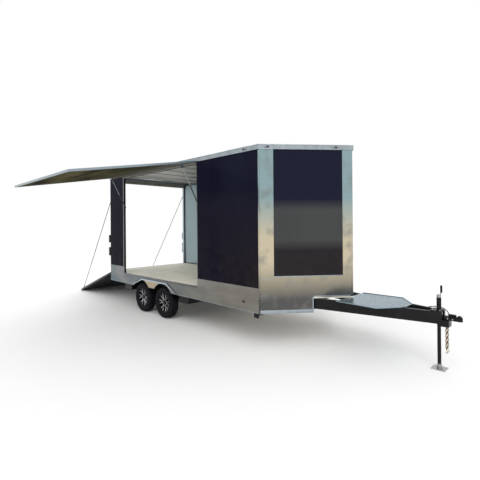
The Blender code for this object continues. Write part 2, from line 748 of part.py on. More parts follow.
def nose_wall(name, side):
    """One face of the V nose: its core, with the dark panel standing out to the surface."""
    outer = SKIN_THICKNESS + SEAT_GAP
    turn, centre = nose_tip_turn(), nose_tip_centre()
    plan = [
        nose_line_at_x(side, outer, CORNER_X + SEAT_GAP),
        nose_line_at_y(side, outer, side * NOSE_TIP_RADIUS * sin(turn)),
        (centre + NOSE_TIP_RADIUS - outer - SEAT_GAP, side * SEAT_GAP),
        nose_line_at_y(side, WALL_THICKNESS, side * SEAT_GAP),
        nose_line_at_x(side, WALL_THICKNESS, CORNER_X + SEAT_GAP),
    ]
    core = sheet("core", plan, PLAN, WALL_FOOT, WALL_TOP - SEAT_GAP)
    start = CORNER_STRIP_WIDTH + SEAT_GAP
    end = NOSE_PANEL_END - SEAT_GAP
    bottom, top = NOSE_PANEL_BOTTOM + SEAT_GAP, WALL_TOP - SEAT_GAP - WELD_DEPTH
    outline = [(start, bottom), (end, bottom), (end, top), (start, top)]
    panel = sheet("panel", outline, nose_frame(side), -SKIN_THICKNESS - WELD_DEPTH, 0)
    finish(fuse(name, [core, panel]), name, "panel")


def nose_cladding(name, side):
    """The bright corner strip and stone guard of one nose face, in one bent sheet."""
    start = 2 * SKIN_THICKNESS
    end = NOSE_PANEL_END
    top = WALL_TOP - SEAT_GAP
    outline = [
        (start, SKIRT_BOTTOM),
        (NOTCH_START, SKIRT_BOTTOM),
        (NOTCH_START, NOTCH_HEIGHT),
        (end, NOTCH_HEIGHT),
        (end, NOSE_PANEL_BOTTOM),
        (CORNER_STRIP_WIDTH, NOSE_PANEL_BOTTOM),
        (CORNER_STRIP_WIDTH, top),
        (start, top),
    ]
    finish(sheet(name, outline, nose_frame(side), -SKIN_THICKNESS, 0), name, "bright")


def nose_cap():
    """The bright strip folded round the nose's edge, from its notch to the roof."""
    start = NOSE_PANEL_END + SEAT_GAP
    turn, centre = nose_tip_turn(), nose_tip_centre()
    steps = 6
    outer = []
    inner = []
    for index in range(steps + 1):
        angle = turn - 2 * turn * index / steps
        for ring, radius in ((outer, NOSE_TIP_RADIUS), (inner, NOSE_TIP_RADIUS - SKIN_THICKNESS)):
            ring.append((centre + radius * cos(angle), radius * sin(angle)))
    outline = [nose_point(1, start, 0), *outer, nose_point(-1, start, 0)]
    outline += [nose_point(-1, start, SKIN_THICKNESS), *reversed(inner), nose_point(1, start, SKIN_THICKNESS)]
    cap = sheet("nose_cap", outline, PLAN, NOTCH_HEIGHT, WALL_TOP - SEAT_GAP)
    finish(cap, "nose_cap", "bright")


def arc(centre_x, centre_z, radius, start, end, steps):
    """Points along an arc, from one angle to another."""
    points = []
    for index in range(steps + 1):
        angle = start + (end - start) * index / steps
        points.append((centre_x + radius * cos(angle), centre_z + radius * sin(angle)))
    return points


def skirt_outline(side):
    """The skirt's lower edge with its two wheel arches, and its upper edge with the door's step."""
    rise = asin((SKIRT_BOTTOM - TYRE_RADIUS) / ARCH_RADIUS)
    bit_rise = asin((ARCH_BIT_BOTTOM - TYRE_RADIUS) / ARCH_RADIUS)
    outline = [(REAR_X, SKIRT_BOTTOM)]
    outline += arc(AXLE_X[1], TYRE_RADIUS, ARCH_RADIUS, pi - rise, bit_rise, 14)
    outline += arc(AXLE_X[0], TYRE_RADIUS, ARCH_RADIUS, pi - bit_rise, rise, 14)
    outline.append((CORNER_X, SKIRT_BOTTOM))
    outline.append((CORNER_X, SKIRT_TOP))
    if side < 0:
        outline.append((OPENING_FRONT_X, SKIRT_TOP))
        outline.append((OPENING_FRONT_X, FLOOR_TOP))
        outline.append((OPENING_REAR_X, FLOOR_TOP))
        outline.append((OPENING_REAR_X, SKIRT_TOP))
    outline.append((REAR_X, SKIRT_TOP))
    return outline


def flare_outline():
    """The raised trim over the two arches: a flat top with sloping ends."""
    foot_front = AXLE_X[0] + FLARE_FRONT_FOOT
    foot_rear = AXLE_X[1] - FLARE_REAR_FOOT
    top_front = AXLE_X[0] + FLARE_FRONT_TOP
    top_rear = AXLE_X[1] + FLARE_REAR_TOP
    low, high = SKIRT_BOTTOM + FLARE_WIDTH / 2, FLARE_TOP
    return [
        (foot_front, low),
        (foot_front - FLARE_WIDTH, low),
        (top_front - FLARE_WIDTH / 2, high - FLARE_WIDTH),
        (top_rear + FLARE_WIDTH / 2, high - FLARE_WIDTH),
        (foot_rear + FLARE_WIDTH, low),
        (foot_rear, low),
        (top_rear, high),
        (top_front, high),
    ]


def skirt(name, side):
    panel = sheet("panel", skirt_outline(side), side_frame(side), -SKIN_THICKNESS, 0)
    flare = sheet("flare", flare_outline(), side_frame(side), -SKIN_THICKNESS / 2, FLARE_PROUD)
    finish(fuse(name, [panel, flare]), name, "bright")


def roof_edge():
    """The metal edge round the roof, with its marker lamps."""
    outer = body_plan(-EDGE_TRIM_PROUD, REAR_X - EDGE_TRIM_PROUD)
    inner = body_plan(WALL_THICKNESS, REAR_X + POST_DEPTH)
    ring = sheet("roof_edge", outer, PLAN, WALL_TOP, ROOF_EDGE_HEIGHT, [inner])
    height = (WALL_TOP + ROOF_EDGE_HEIGHT) / 2
    pieces = [ring]
    for side in SIDES.values():
        for x in (CORNER_X - MARKER_CORNER_SETBACK, REAR_X + MARKER_REAR_SETBACK):
            base = side_frame(side) @ Matrix.Translation((x, height, EDGE_TRIM_PROUD))
            pieces.append(marker_lamp(base))
        for share in MARKER_NOSE_SHARES:
            place = Matrix.Translation((NOSE_FACE_LENGTH * share, height, EDGE_TRIM_PROUD))
            pieces.append(marker_lamp(nose_frame(side) @ place))
    rear = axes((REAR_X - EDGE_TRIM_PROUD, 0, height), (0, -1, 0), (0, 0, 1))
    for index in (-1, 0, 1):
        pieces.append(marker_lamp(rear @ Matrix.Translation((index * MARKER_REAR_PITCH, 0, 0))))
    finish(fuse("roof_edge", pieces), "roof_edge", "trim")


def marker_lamp(frame):
    """A small rounded lamp on the roof edge."""
    half, rise = MARKER_LENGTH / 2, MARKER_HEIGHT / 2
    outline = arc(half - rise, 0, rise, -pi / 2, pi / 2, 6) + arc(rise - half, 0, rise, pi / 2, 3 * pi / 2, 6)
    return sheet("marker_lamp", outline, frame, -WELD_DEPTH, MARKER_REACH)


def roof_height(share):
    """The rise of the crowned roof at a share of its half width."""
    return ROOF_CROWN * (1 - share * share)


def roof():
    """A crowned sheet lofted from the rear to the nose, given its thickness."""
    inset = WALL_THICKNESS + SEAT_GAP
    half = HALF_WIDTH - inset
    rear = REAR_X + POST_DEPTH + SEAT_GAP
    corner = nose_line_at_y(1, inset, half)[0]
    tip = nose_line_at_y(1, inset, 0)[0]
    stations = [(rear, 1.0), (corner, 1.0)]
    nose_steps = 5
    for index in range(1, nose_steps):
        share = 1 - index / nose_steps
        stations.append((tip + (corner - tip) * share, share))
    stations.append((tip - (tip - corner) / nose_steps / 4, 1 / nose_steps / 4))
    columns = 12
    work = bmesh.new()
    rows = []
    for x, width_share in stations:
        row = []
        for column in range(columns + 1):
            share = -1 + 2 * column / columns
            rise = roof_height(share) * width_share
            row.append(work.verts.new((x, half * width_share * share, ROOF_EDGE_HEIGHT + rise)))
        rows.append(row)
    for row, following in zip(rows, rows[1:]):
        for index in range(columns):
            work.faces.new((row[index], following[index], following[index + 1], row[index + 1]))
    thing = add_object("roof", mesh_from("roof", work))
    shell = thing.modifiers.new("thickness", "SOLIDIFY")
    shell.thickness = ROOF_THICKNESS
    shell.offset = -1
    shell.use_even_offset = False
    finish(evaluated(thing), "roof", "roof")


def roof_cooler():
    """The roof air conditioner: a sloping shroud with louvres along both sides, on its base pan."""
    middle = CORNER_X - COOLER_CENTRE_SETBACK
    half, rise = COOLER_LENGTH / 2, COOLER_HEIGHT
    foot = ROOF_EDGE_HEIGHT + ROOF_CROWN + SEAT_GAP
    outline = [
        (middle - half, 0),
        (middle + half, 0),
        (middle + half, rise / 3),
        (middle + half - COOLER_SLOPE, rise),
        (middle - half + COOLER_SLOPE, rise),
        (middle - half, rise * 2 / 3),
    ]
    frame = axes((0, 0, foot + COOLER_BASE - WELD_DEPTH), (1, 0, 0), (0, 0, 1))
    shroud = sheet("shroud", outline, frame, -COOLER_WIDTH / 2, COOLER_WIDTH / 2)
    shroud = soften(shroud, COOLER_EDGE, 3)
    slots = []
    for side in SIDES.values():
        for index in range(LOUVRE_COUNT):
            z = foot + COOLER_BASE + rise / 4 + index * LOUVRE_WIDTH * 2
            face = COOLER_WIDTH / 2
            low_y, high_y = sorted((side * (face - LOUVRE_DEPTH), side * (face + CUT_OVERRUN)))
            low = (middle - half / 2, low_y, z)
            slots.append(block("louvre", low, (middle + half / 2, high_y, z + LOUVRE_WIDTH)))
    shroud = carve(shroud, slots)
    pan_half = COOLER_WIDTH / 4
    pan_high = (middle + half / 2, pan_half, foot + COOLER_BASE)
    pan = block("pan", (middle - half / 2, -pan_half, foot), pan_high)
    finish(fuse("roof_air_conditioner", [shroud, pan]), "roof_air_conditioner", "plastic")


def rear_frame():
    """Rear posts with their lock keepers and tail lamps, and the header between them."""
    outer = HALF_WIDTH - WALL_THICKNESS - SEAT_GAP
    for name, side in SIDES.items():
        low_y, high_y = sorted((side * (outer - POST_WIDTH), side * outer))
        low = (REAR_X, low_y, FLOOR_TOP + SEAT_GAP)
        pieces = [block("post", low, (REAR_X + POST_DEPTH, high_y, WALL_TOP - SEAT_GAP))]
        keeper_y = sorted((side * (outer - POST_WIDTH / 2), side * (outer - POST_WIDTH / 2 + KEEPER_WIDTH)))
        spans = [(span, KEEPER_REACH) for span in KEEPER_SPANS] + [(TAIL_LAMP_SPAN, TAIL_LAMP_REACH)]
        for (bottom, top), reach in spans:
            base_low = (REAR_X - reach, keeper_y[0], bottom)
            pieces.append(block("keeper", base_low, (REAR_X - SEAT_GAP, keeper_y[1], top)))
            root_low = (REAR_X - WELD_DEPTH, keeper_y[0] + WELD_DEPTH, bottom + WELD_DEPTH)
            root_high = (REAR_X + WELD_DEPTH, keeper_y[1] - WELD_DEPTH, top - WELD_DEPTH)
            root = [list(root_low), list(root_high)]
            root[0 if side < 0 else 1][1] = side * (outer - WELD_DEPTH)
            pieces.append(block("keeper_root", root[0], root[1]))
        pieces.append(cable_lug_on_post(side, outer - POST_WIDTH))
        finish(fuse("rear_post_" + name, pieces), "rear_post_" + name, "trim")
    half = outer - POST_WIDTH - SEAT_GAP
    header = block(
        "rear_header", (REAR_X, -half, REAR_HEADER_BOTTOM), (REAR_X + POST_DEPTH, half, WALL_TOP - SEAT_GAP)
    )
    finish(header, "rear_header", "trim")


def cable_y(side):
    """The plane in which a ramp cable runs."""
    return side * (HALF_WIDTH - WALL_THICKNESS - SEAT_GAP - POST_WIDTH - CABLE_LUG_THICKNESS / 2)


def cable_lug_on_post(side, face):
    """The lug inside a rear post that a ramp cable hangs from."""
    low_y, high_y = sorted((side * (face - CABLE_LUG_THICKNESS), side * (face + WELD_DEPTH)))
    half = CABLE_LUG_LENGTH / 2
    low = (REAR_X + WELD_DEPTH, low_y, CABLE_TOP_HEIGHT - half)
    return block("cable_lug", low, (REAR_X + POST_DEPTH - WELD_DEPTH, high_y, CABLE_TOP_HEIGHT + half))


def ramp_point(along, height):
    """A world place on the lowered ramp, from a length down it and a height above its middle."""
    x = RAMP_HINGE.x - along * cos(RAMP_SLOPE) - height * sin(RAMP_SLOPE)
    z = RAMP_HINGE.z - along * sin(RAMP_SLOPE) + height * cos(RAMP_SLOPE)
    return Vector((x, 0, z))


def ramp_door():
    """The ramp: a panel with a feathered end flap, hinge barrels and two cable eyes."""
    half = RAMP_THICKNESS / 2
    start = RAMP_KNUCKLE_RADIUS + SWING_GAP
    flap = RAMP_LENGTH - RAMP_FLAP_LENGTH
    outline = [
        (start, -half),
        (RAMP_LENGTH, -half),
        (RAMP_LENGTH, -half + RAMP_FLAP_TIP),
        (flap, half),
        (start, half),
    ]
    frame = axes((0, 0, 0), (-1, 0, 0), (0, 0, 1))
    pieces = [sheet("panel", outline, frame, -RAMP_HALF_WIDTH, RAMP_HALF_WIDTH)]
    pitch = 2 * RAMP_HALF_WIDTH / RAMP_KNUCKLE_COUNT
    for index in range(RAMP_KNUCKLE_COUNT):
        y = -RAMP_HALF_WIDTH + pitch * (index + 1 / 2)
        reach = pitch / 4
        pieces.append(rod("barrel", (0, y - reach, 0), (0, y + reach, 0), RAMP_KNUCKLE_RADIUS, 12))
        low = (-start - WELD_DEPTH, y - reach + WELD_DEPTH, -RAMP_KNUCKLE_RADIUS / 2)
        pieces.append(block("strap", low, (0, y + reach - WELD_DEPTH, RAMP_KNUCKLE_RADIUS / 2)))
    for side in SIDES.values():
        eye_x = -(flap - RAMP_EYE_SETBACK)
        outer = RAMP_HALF_WIDTH - RAMP_EYE_INSET
        low_y, high_y = sorted((side * (outer - CABLE_LUG_THICKNESS), side * outer))
        low = (eye_x - CABLE_LUG_LENGTH / 2, low_y, half - WELD_DEPTH)
        pieces.append(block("eye", low, (eye_x + CABLE_LUG_LENGTH / 2, high_y, half + CABLE_LUG_LENGTH / 2)))
    ramp = fuse("ramp_door", pieces)
    empty = pivot("ramp_hinge", RAMP_HINGE, (0, -RAMP_SLOPE, 0))
    hang(finish(ramp, "ramp_door", "black"), empty)


def ramp_cables():
    """The two stay cables that carry the lowered ramp, taut from post to ramp."""
    along = RAMP_LENGTH - RAMP_FLAP_LENGTH - RAMP_EYE_SETBACK
    foot = ramp_point(along, RAMP_THICKNESS / 2 + CABLE_LUG_LENGTH / 2 + CABLE_RADIUS)
    for name, side in SIDES.items():
        top = Vector((REAR_X + WELD_DEPTH - CABLE_RADIUS - SEAT_GAP, cable_y(side), CABLE_TOP_HEIGHT))
        end_y = side * (RAMP_HALF_WIDTH - RAMP_EYE_INSET - CABLE_LUG_THICKNESS / 2)
        end = Vector((foot.x, end_y, foot.z))
        cable = wire("ramp_cable_" + name, [top, end], CABLE_RADIUS, 2)
        finish(cable, "ramp_cable_" + name, "cable")


def side_door():
    """The lifting side door, drawn closed about its hinge and then raised."""
    rear = OPENING_REAR_X - DOOR_LAP
    front = OPENING_FRONT_X + DOOR_LAP
    inner = DOOR_HINGE_PROUD - SWING_GAP
    outer = inner - DOOR_THICKNESS
    top = -KNUCKLE_RADIUS - PIN_GAP
    bottom = DOOR_BOTTOM - DOOR_HINGE_HEIGHT
    panel = block("panel", (rear, outer, bottom), (front, inner, top))
    edge = DOOR_FRAME_WIDTH
    recess_low = (rear + edge, inner - DOOR_FRAME_LIP, bottom + edge)
    recess = block("recess", recess_low, (front - edge, inner + CUT_OVERRUN, top - edge))
    pieces = [carve(panel, [recess])]
    for jamb_x, inward in ((OPENING_FRONT_X, -1), (OPENING_REAR_X, 1)):
        pieces.append(strut_lug(jamb_x, inward, inner))
    door = fuse("side_door", pieces)
    empty = pivot("side_door_hinge", DOOR_HINGE, (-DOOR_SWING, 0, 0))
    hang(finish(door, "side_door", "bright"), empty)


def strut_lug(jamb_x, inward, face):
    """The lug on the side door beside a gas strut's eye."""
    near = jamb_x + inward * (STRUT_INSET + STRUT_EYE_WIDTH / 2 + PIN_GAP)
    low_x, high_x = sorted((near, near + inward * STRUT_LUG_THICKNESS))
    low = (low_x, face - DOOR_THICKNESS / 2, -STRUT_HEAD_REACH - STRUT_LUG_HALF)
    high = (high_x, STRUT_HEAD_DEPTH + STRUT_LUG_HALF / 2, -STRUT_HEAD_REACH + STRUT_LUG_HALF)
    return block("strut_lug", low, high)


def strut_head():
    """Where a raised door holds its struts' eyes, in the plane across the trailer."""
    y = DOOR_HINGE.y - STRUT_HEAD_REACH * sin(DOOR_SWING) + STRUT_HEAD_DEPTH * cos(DOOR_SWING)
    z = DOOR_HINGE.z - STRUT_HEAD_REACH * cos(DOOR_SWING) - STRUT_HEAD_DEPTH * sin(DOOR_SWING)
    return y, z


def gas_struts():
    """Each strut's cylinder and rod, drawn upright and then leaned to the door."""
    head_y, head_z = strut_head()
    reach = hypot(head_y - strut_foot_y(), head_z - STRUT_FOOT_HEIGHT)
    lean = atan2(strut_foot_y() - head_y, head_z - STRUT_FOOT_HEIGHT)
    for name, jamb_x, inward in (("front", OPENING_FRONT_X, -1), ("rear", OPENING_REAR_X, 1)):
        x = jamb_x + inward * STRUT_INSET
        half = STRUT_EYE_WIDTH / 2
        start = STRUT_EYE_RADIUS - WELD_DEPTH / 2
        end = start + reach * STRUT_BODY_SHARE
        eye = rod("eye", (-half, 0, 0), (half, 0, 0), STRUT_EYE_RADIUS)
        body = rod("body", (0, 0, start), (0, 0, end), STRUT_BODY_RADIUS)
        cylinder = fuse("cylinder", [body, eye])
        bore_start = (0, 0, start + STRUT_EYE_RADIUS)
        bore = rod("bore", bore_start, (0, 0, end + CUT_OVERRUN), STRUT_ROD_RADIUS + PIN_GAP, 12)
        hole = rod("hole", (-2 * half, 0, 0), (2 * half, 0, 0), STRUT_PIN_RADIUS + PIN_GAP, 12)
        cylinder = carve(cylinder, [bore, hole])
        foot = pivot("strut_foot_" + name, (x, strut_foot_y(), STRUT_FOOT_HEIGHT), (lean, 0, 0))
        hang(finish(cylinder, "strut_cylinder_" + name, "black"), foot)
        stem = rod("stem", (0, 0, reach * (1 - STRUT_ROD_SHARE)), (0, 0, reach), STRUT_ROD_RADIUS, 12)
        top_eye = rod("top_eye", (-half, 0, reach), (half, 0, reach), STRUT_EYE_RADIUS)
        hang(finish(fuse("rod", [top_eye, stem]), "strut_rod_" + name, "zinc"), foot)


def tongue():
    """The two tongue beams and the block that joins their front ends."""
    rear = notch_x() + SEAT_GAP
    bottom = TONGUE_TOP - TONGUE_HEIGHT
    pieces = []
    for side in SIDES.values():
        plan = tongue_plan(side, TONGUE_FRONT, rear)
        pieces.append(sheet("beam", plan, PLAN, bottom, TONGUE_TOP))
    front_half = tongue_line(TONGUE_FRONT)
    plan = [
        (TONGUE_FRONT - TONGUE_BEAM_WIDTH / 2, -front_half + WELD_DEPTH),
        (TONGUE_FRONT + NOSE_BLOCK_LENGTH, -tongue_line(TONGUE_FRONT + NOSE_BLOCK_LENGTH)),
        (TONGUE_FRONT + NOSE_BLOCK_LENGTH, tongue_line(TONGUE_FRONT + NOSE_BLOCK_LENGTH)),
        (TONGUE_FRONT - TONGUE_BEAM_WIDTH / 2, front_half - WELD_DEPTH),
    ]
    nose_top = COUPLER_BOTTOM - SEAT_GAP
    pieces.append(sheet("nose_block", plan, PLAN, bottom - NOSE_BLOCK_DROP, nose_top))
    tongue_solid = fuse("tongue", pieces)
    finish(tongue_solid, "tongue", "black")


def pulled_in(path, inset):
    """An open path of plan points moved to its right by an inset, its end points kept on their own X."""
    lines = []
    for here, there in zip(path, path[1:]):
        step = (Vector(there) - Vector(here)).normalized()
        lines.append((Vector(here) + Vector((step.y, -step.x)) * inset, step))
    points = []
    for place, (start, step) in zip((path[0], path[-1]), (lines[0], lines[-1])):
        points.append((place[0], start.y + step.y * (place[0] - start.x) / step.x))
    for (start, step), (other, turn) in zip(lines, lines[1:]):
        share = (other - start).cross(turn) / step.cross(turn)
        points.insert(-1, tuple(start + step * share))
    return points


def tongue_platform():
    """The tread plate step on the tongue, with its raised rim."""
    outline = []
    for side in (1, -1):
        corners = [
            (-PLATFORM_REAR, side * PLATFORM_REAR_HALF),
            (-PLATFORM_SIDE, side * PLATFORM_SIDE_HALF),
            (-PLATFORM_FRONT, side * PLATFORM_FRONT_HALF),
        ]
        outline += corners if side > 0 else corners[::-1]
    foot = TONGUE_TOP + SEAT_GAP
    plate = sheet("plate", outline, PLAN, foot, foot + PLATFORM_THICKNESS)
    rim = outline + pulled_in(outline, PLATFORM_RIM_WIDTH)[::-1]
    low, high = foot + PLATFORM_THICKNESS / 2, foot + PLATFORM_RIM_HEIGHT
    pieces = [plate, sheet("rim", rim, PLAN, low, high)]
    finish(fuse("tongue_platform", pieces), "tongue_platform", "bright")


def coupler():
    """The ball coupler: a tapered channel with a domed socket and its latch."""
    rear = TONGUE_FRONT - TONGUE_BEAM_WIDTH / 2 + JACK_FLANGE_THICKNESS
    front_half = COUPLER_DOME_RADIUS
    tip_turn = [
        (COUPLER_DOME_X + front_half * cos(angle), front_half * sin(angle))
        for angle in (pi / 2, pi / 4, 0, -pi / 4, -pi / 2)
    ]
    half = min(COUPLER_REAR_HALF, tongue_line(TONGUE_FRONT) - TONGUE_BEAM_WIDTH - SEAT_GAP)
    outline = [(rear, half), *tip_turn, (rear, -half)]
    body = sheet("body", outline, PLAN, COUPLER_BOTTOM, COUPLER_DECK)
    dome = ball("dome", (COUPLER_DOME_X, 0, COUPLER_DECK - SKIN_THICKNESS), front_half - SKIN_THICKNESS)
    latch_x = COUPLER_DOME_X - COUPLER_DOME_RADIUS - LATCH_LENGTH
    latch_low = (latch_x, -LATCH_WIDTH / 2, COUPLER_DECK - WELD_DEPTH)
    latch_high = (latch_low[0] + LATCH_LENGTH, LATCH_WIDTH / 2, COUPLER_DECK + LATCH_HEIGHT)
    latch = soften(block("latch", latch_low, latch_high), LATCH_HEIGHT / 4)
    solid = fuse("coupler", [body, dome, latch])
    socket = ball("socket", (COUPLER_DOME_X, 0, COUPLER_BOTTOM + BALL_SOCKET_RADIUS), BALL_SOCKET_RADIUS)
    throat_top = (COUPLER_DOME_X, 0, COUPLER_BOTTOM + BALL_SOCKET_RADIUS)
    throat_foot = (COUPLER_DOME_X, 0, COUPLER_BOTTOM - CUT_OVERRUN)
    throat = rod("throat", throat_foot, throat_top, BALL_SOCKET_RADIUS * cos(pi / 16))
    finish(carve(solid, [throat, socket]), "coupler", "black")


def jack():
    """The tongue jack: its outer tube with flange and crank, and the leg with its foot."""
    tube = rod("tube", (0, 0, JACK_TUBE_BOTTOM), (0, 0, JACK_TUBE_TOP), JACK_TUBE_RADIUS, 24)
    flange_low = (-JACK_FLANGE_HALF, -JACK_FLANGE_HALF, TONGUE_TOP + SEAT_GAP)
    flange_high = (JACK_FLANGE_HALF / 2, JACK_FLANGE_HALF, TONGUE_TOP + SEAT_GAP + JACK_FLANGE_THICKNESS)
    flange = block("flange", flange_low, flange_high)
    head_top = JACK_TUBE_TOP + JACK_HEAD_HEIGHT
    head_foot = (0, 0, JACK_TUBE_TOP - WELD_DEPTH)
    head = rod("head", head_foot, (0, 0, head_top), JACK_TUBE_RADIUS - WELD_DEPTH / 2, 24)
    crank_z = JACK_TUBE_TOP + JACK_HEAD_HEIGHT / 2
    bend_y = CRANK_REACH
    crank_path = [(0, 0, crank_z), (0, bend_y / 2, crank_z), (0, bend_y, crank_z + CRANK_RISE)]
    arm = wire("arm", crank_path, CRANK_RADIUS, 2)
    grip_foot = (0, bend_y, crank_z + CRANK_RISE - CRANK_RADIUS)
    grip_top = (0, bend_y, crank_z + CRANK_RISE + CRANK_GRIP_LENGTH)
    grip = rod("grip", grip_foot, grip_top, CRANK_GRIP_RADIUS, 12)
    outer = fuse("jack_tube", [tube, flange, head, arm, grip])
    bore_top = (0, 0, JACK_LEG_TOP + CUT_OVERRUN)
    bore = rod("bore", (0, 0, JACK_TUBE_BOTTOM - CUT_OVERRUN), bore_top, JACK_LEG_RADIUS + PIN_GAP, 24)
    finish(carve(outer, [bore]), "jack_tube", "black")
    leg = rod("leg", (0, 0, JACK_FOOT_THICKNESS - WELD_DEPTH), (0, 0, JACK_LEG_TOP), JACK_LEG_RADIUS, 24)
    foot_half = JACK_FOOT_HALF
    foot = block("foot", (-foot_half, -foot_half, 0), (foot_half, foot_half, JACK_FOOT_THICKNESS))
    foot = soften(foot, JACK_FOOT_THICKNESS / 4, 1)
    socket_foot = (0, 0, JACK_FOOT_THICKNESS - WELD_DEPTH)
    socket = rod("socket", socket_foot, (0, 0, JACK_SOCKET_HEIGHT), JACK_SOCKET_RADIUS, 24)
    finish(fuse("jack_leg", [foot, leg, socket]), "jack_leg", "zinc")


def chain_link(name, middle, along, flat):
    """One oval link: a closed wire round two half circles."""
    along, flat = Vector(along).normalized(), Vector(flat).normalized()
    radius = (CHAIN_LINK_WIDTH - 2 * CHAIN_WIRE_RADIUS) / 2
    straight = CHAIN_LINK_LENGTH / 2 - CHAIN_WIRE_RADIUS - radius
    points = []
    for end in (1, -1):
        for angle in (-pi / 2, 0, pi / 2):
            across = radius * sin(angle) * end
            reach = end * (straight + radius * cos(angle))
            points.append(Vector(middle) + along * reach + flat * across)
    return wire(name, points, CHAIN_WIRE_RADIUS, 0, closed=True)


def safety_chain(name, side):
    """A chain that hangs under the tongue's nose, its links turned by quarters."""
    x_end = TONGUE_FRONT + NOSE_BLOCK_LENGTH / 2
    top = TONGUE_TOP - TONGUE_HEIGHT - NOSE_BLOCK_DROP - CHAIN_LINK_LENGTH / 2 - SEAT_GAP
    pitch = CHAIN_LINK_LENGTH - 2 * CHAIN_WIRE_RADIUS - WELD_DEPTH / 2
    pieces = []
    for index in range(CHAIN_LINKS):
        place = (x_end, side * CHAIN_HALF_GAP, top - index * pitch)
        flat = (0, 1, 0) if index % 2 else (1, 0, 0)
        pieces.append(chain_link("link", place, (0, 0, -1), flat))
    finish(fuse(name, pieces), name, "chain")


def wiring_lead():
    """The wiring lead that arches from the curb beam to the coupler's top, held at both ends."""
    lead = wire("wiring_lead", LEAD_ROUTE, LEAD_RADIUS, 2)
    finish(lead, "wiring_lead", "rubber")


def tyre_mesh():
    """One tyre's solid, turned about its own axle."""
    half = TYRE_WIDTH / 2
    rim_half = RIM_WIDTH / 2
    shoulder = TYRE_RADIUS - 4 * TREAD_CROWN
    inner = RIM_RADIUS + SEAT_GAP
    wall = RIM_RADIUS + (TYRE_RADIUS - RIM_RADIUS) / 2
    profile = [
        (inner, -rim_half),
        (inner, rim_half),
        (wall, half),
        (shoulder, half - TREAD_CROWN),
        (TYRE_RADIUS - TREAD_CROWN / 2, half - 4 * TREAD_CROWN),
        (TYRE_RADIUS, 0),
        (TYRE_RADIUS - TREAD_CROWN / 2, -half + 4 * TREAD_CROWN),
        (shoulder, -half + TREAD_CROWN),
        (wall, -half),
    ]
    return turned("tyre", profile)


def rim_mesh():
    """One alloy rim: its barrel, hub and split spokes, outer face towards +Z."""
    half = RIM_WIDTH / 2
    inside = RIM_RADIUS - RIM_WALL
    profile = [
        (RIM_RADIUS, half),
        (RIM_RADIUS, -half),
        (inside, -half),
        (inside, half),
    ]
    barrel = turned("barrel", profile)
    face = half - SPOKE_INSET
    back = face - SPOKE_DEPTH
    pieces = [barrel, rod("hub", (0, 0, -half / 2), (0, 0, face), HUB_RADIUS, 24)]
    for index in range(SPOKE_COUNT):
        for twin in (-1, 1):
            angle = 2 * pi * index / SPOKE_COUNT
            foot = Vector((cos(angle), sin(angle))) * (HUB_RADIUS - WELD_DEPTH)
            tip_angle = angle + twin * SPOKE_TWIN_ANGLE
            tip = Vector((cos(tip_angle), sin(tip_angle))) * (inside + WELD_DEPTH / 2)
            across = Vector((-sin(tip_angle), cos(tip_angle))) * SPOKE_WIDTH / 2
            outline = [tuple(foot - across), tuple(tip - across), tuple(tip + across), tuple(foot + across)]
            pieces.append(sheet("spoke", outline, PLAN, back, face - WELD_DEPTH / 2))
    cap_foot = (0, 0, face - WELD_DEPTH)
    pieces.append(rod("cap", cap_foot, (0, 0, face + HUB_CAP_HEIGHT), HUB_CAP_RADIUS, 18))
    rim = fuse("rim", pieces)
    seat_top = half / 2 - SPOKE_INSET
    seat = rod("seat", (0, 0, -half), (0, 0, seat_top), SPINDLE_RADIUS + PIN_GAP)
    return carve(rim, [seat])


def wheels():
    """Four wheels, each a tyre and a rim under an empty on its axle."""
    tyre, rim = tyre_mesh(), rim_mesh()
    for side_name, side in SIDES.items():
        for row, x in zip(("front", "rear"), AXLE_X):
            label = row + "_" + side_name
            hub = pivot("hub_" + label, (x, side * WHEEL_MIDDLE, TYRE_RADIUS), (-side * pi / 2, 0, 0))
            for part, look in ((tyre, "rubber"), (rim, "alloy")):
                name = part.name.split(".")[0] + "_" + label
                copy = add_object(name, part.data.copy())
                hang(finish(copy, name, look), hub)
    bpy.data.objects.remove(tyre)
    bpy.data.objects.remove(rim)


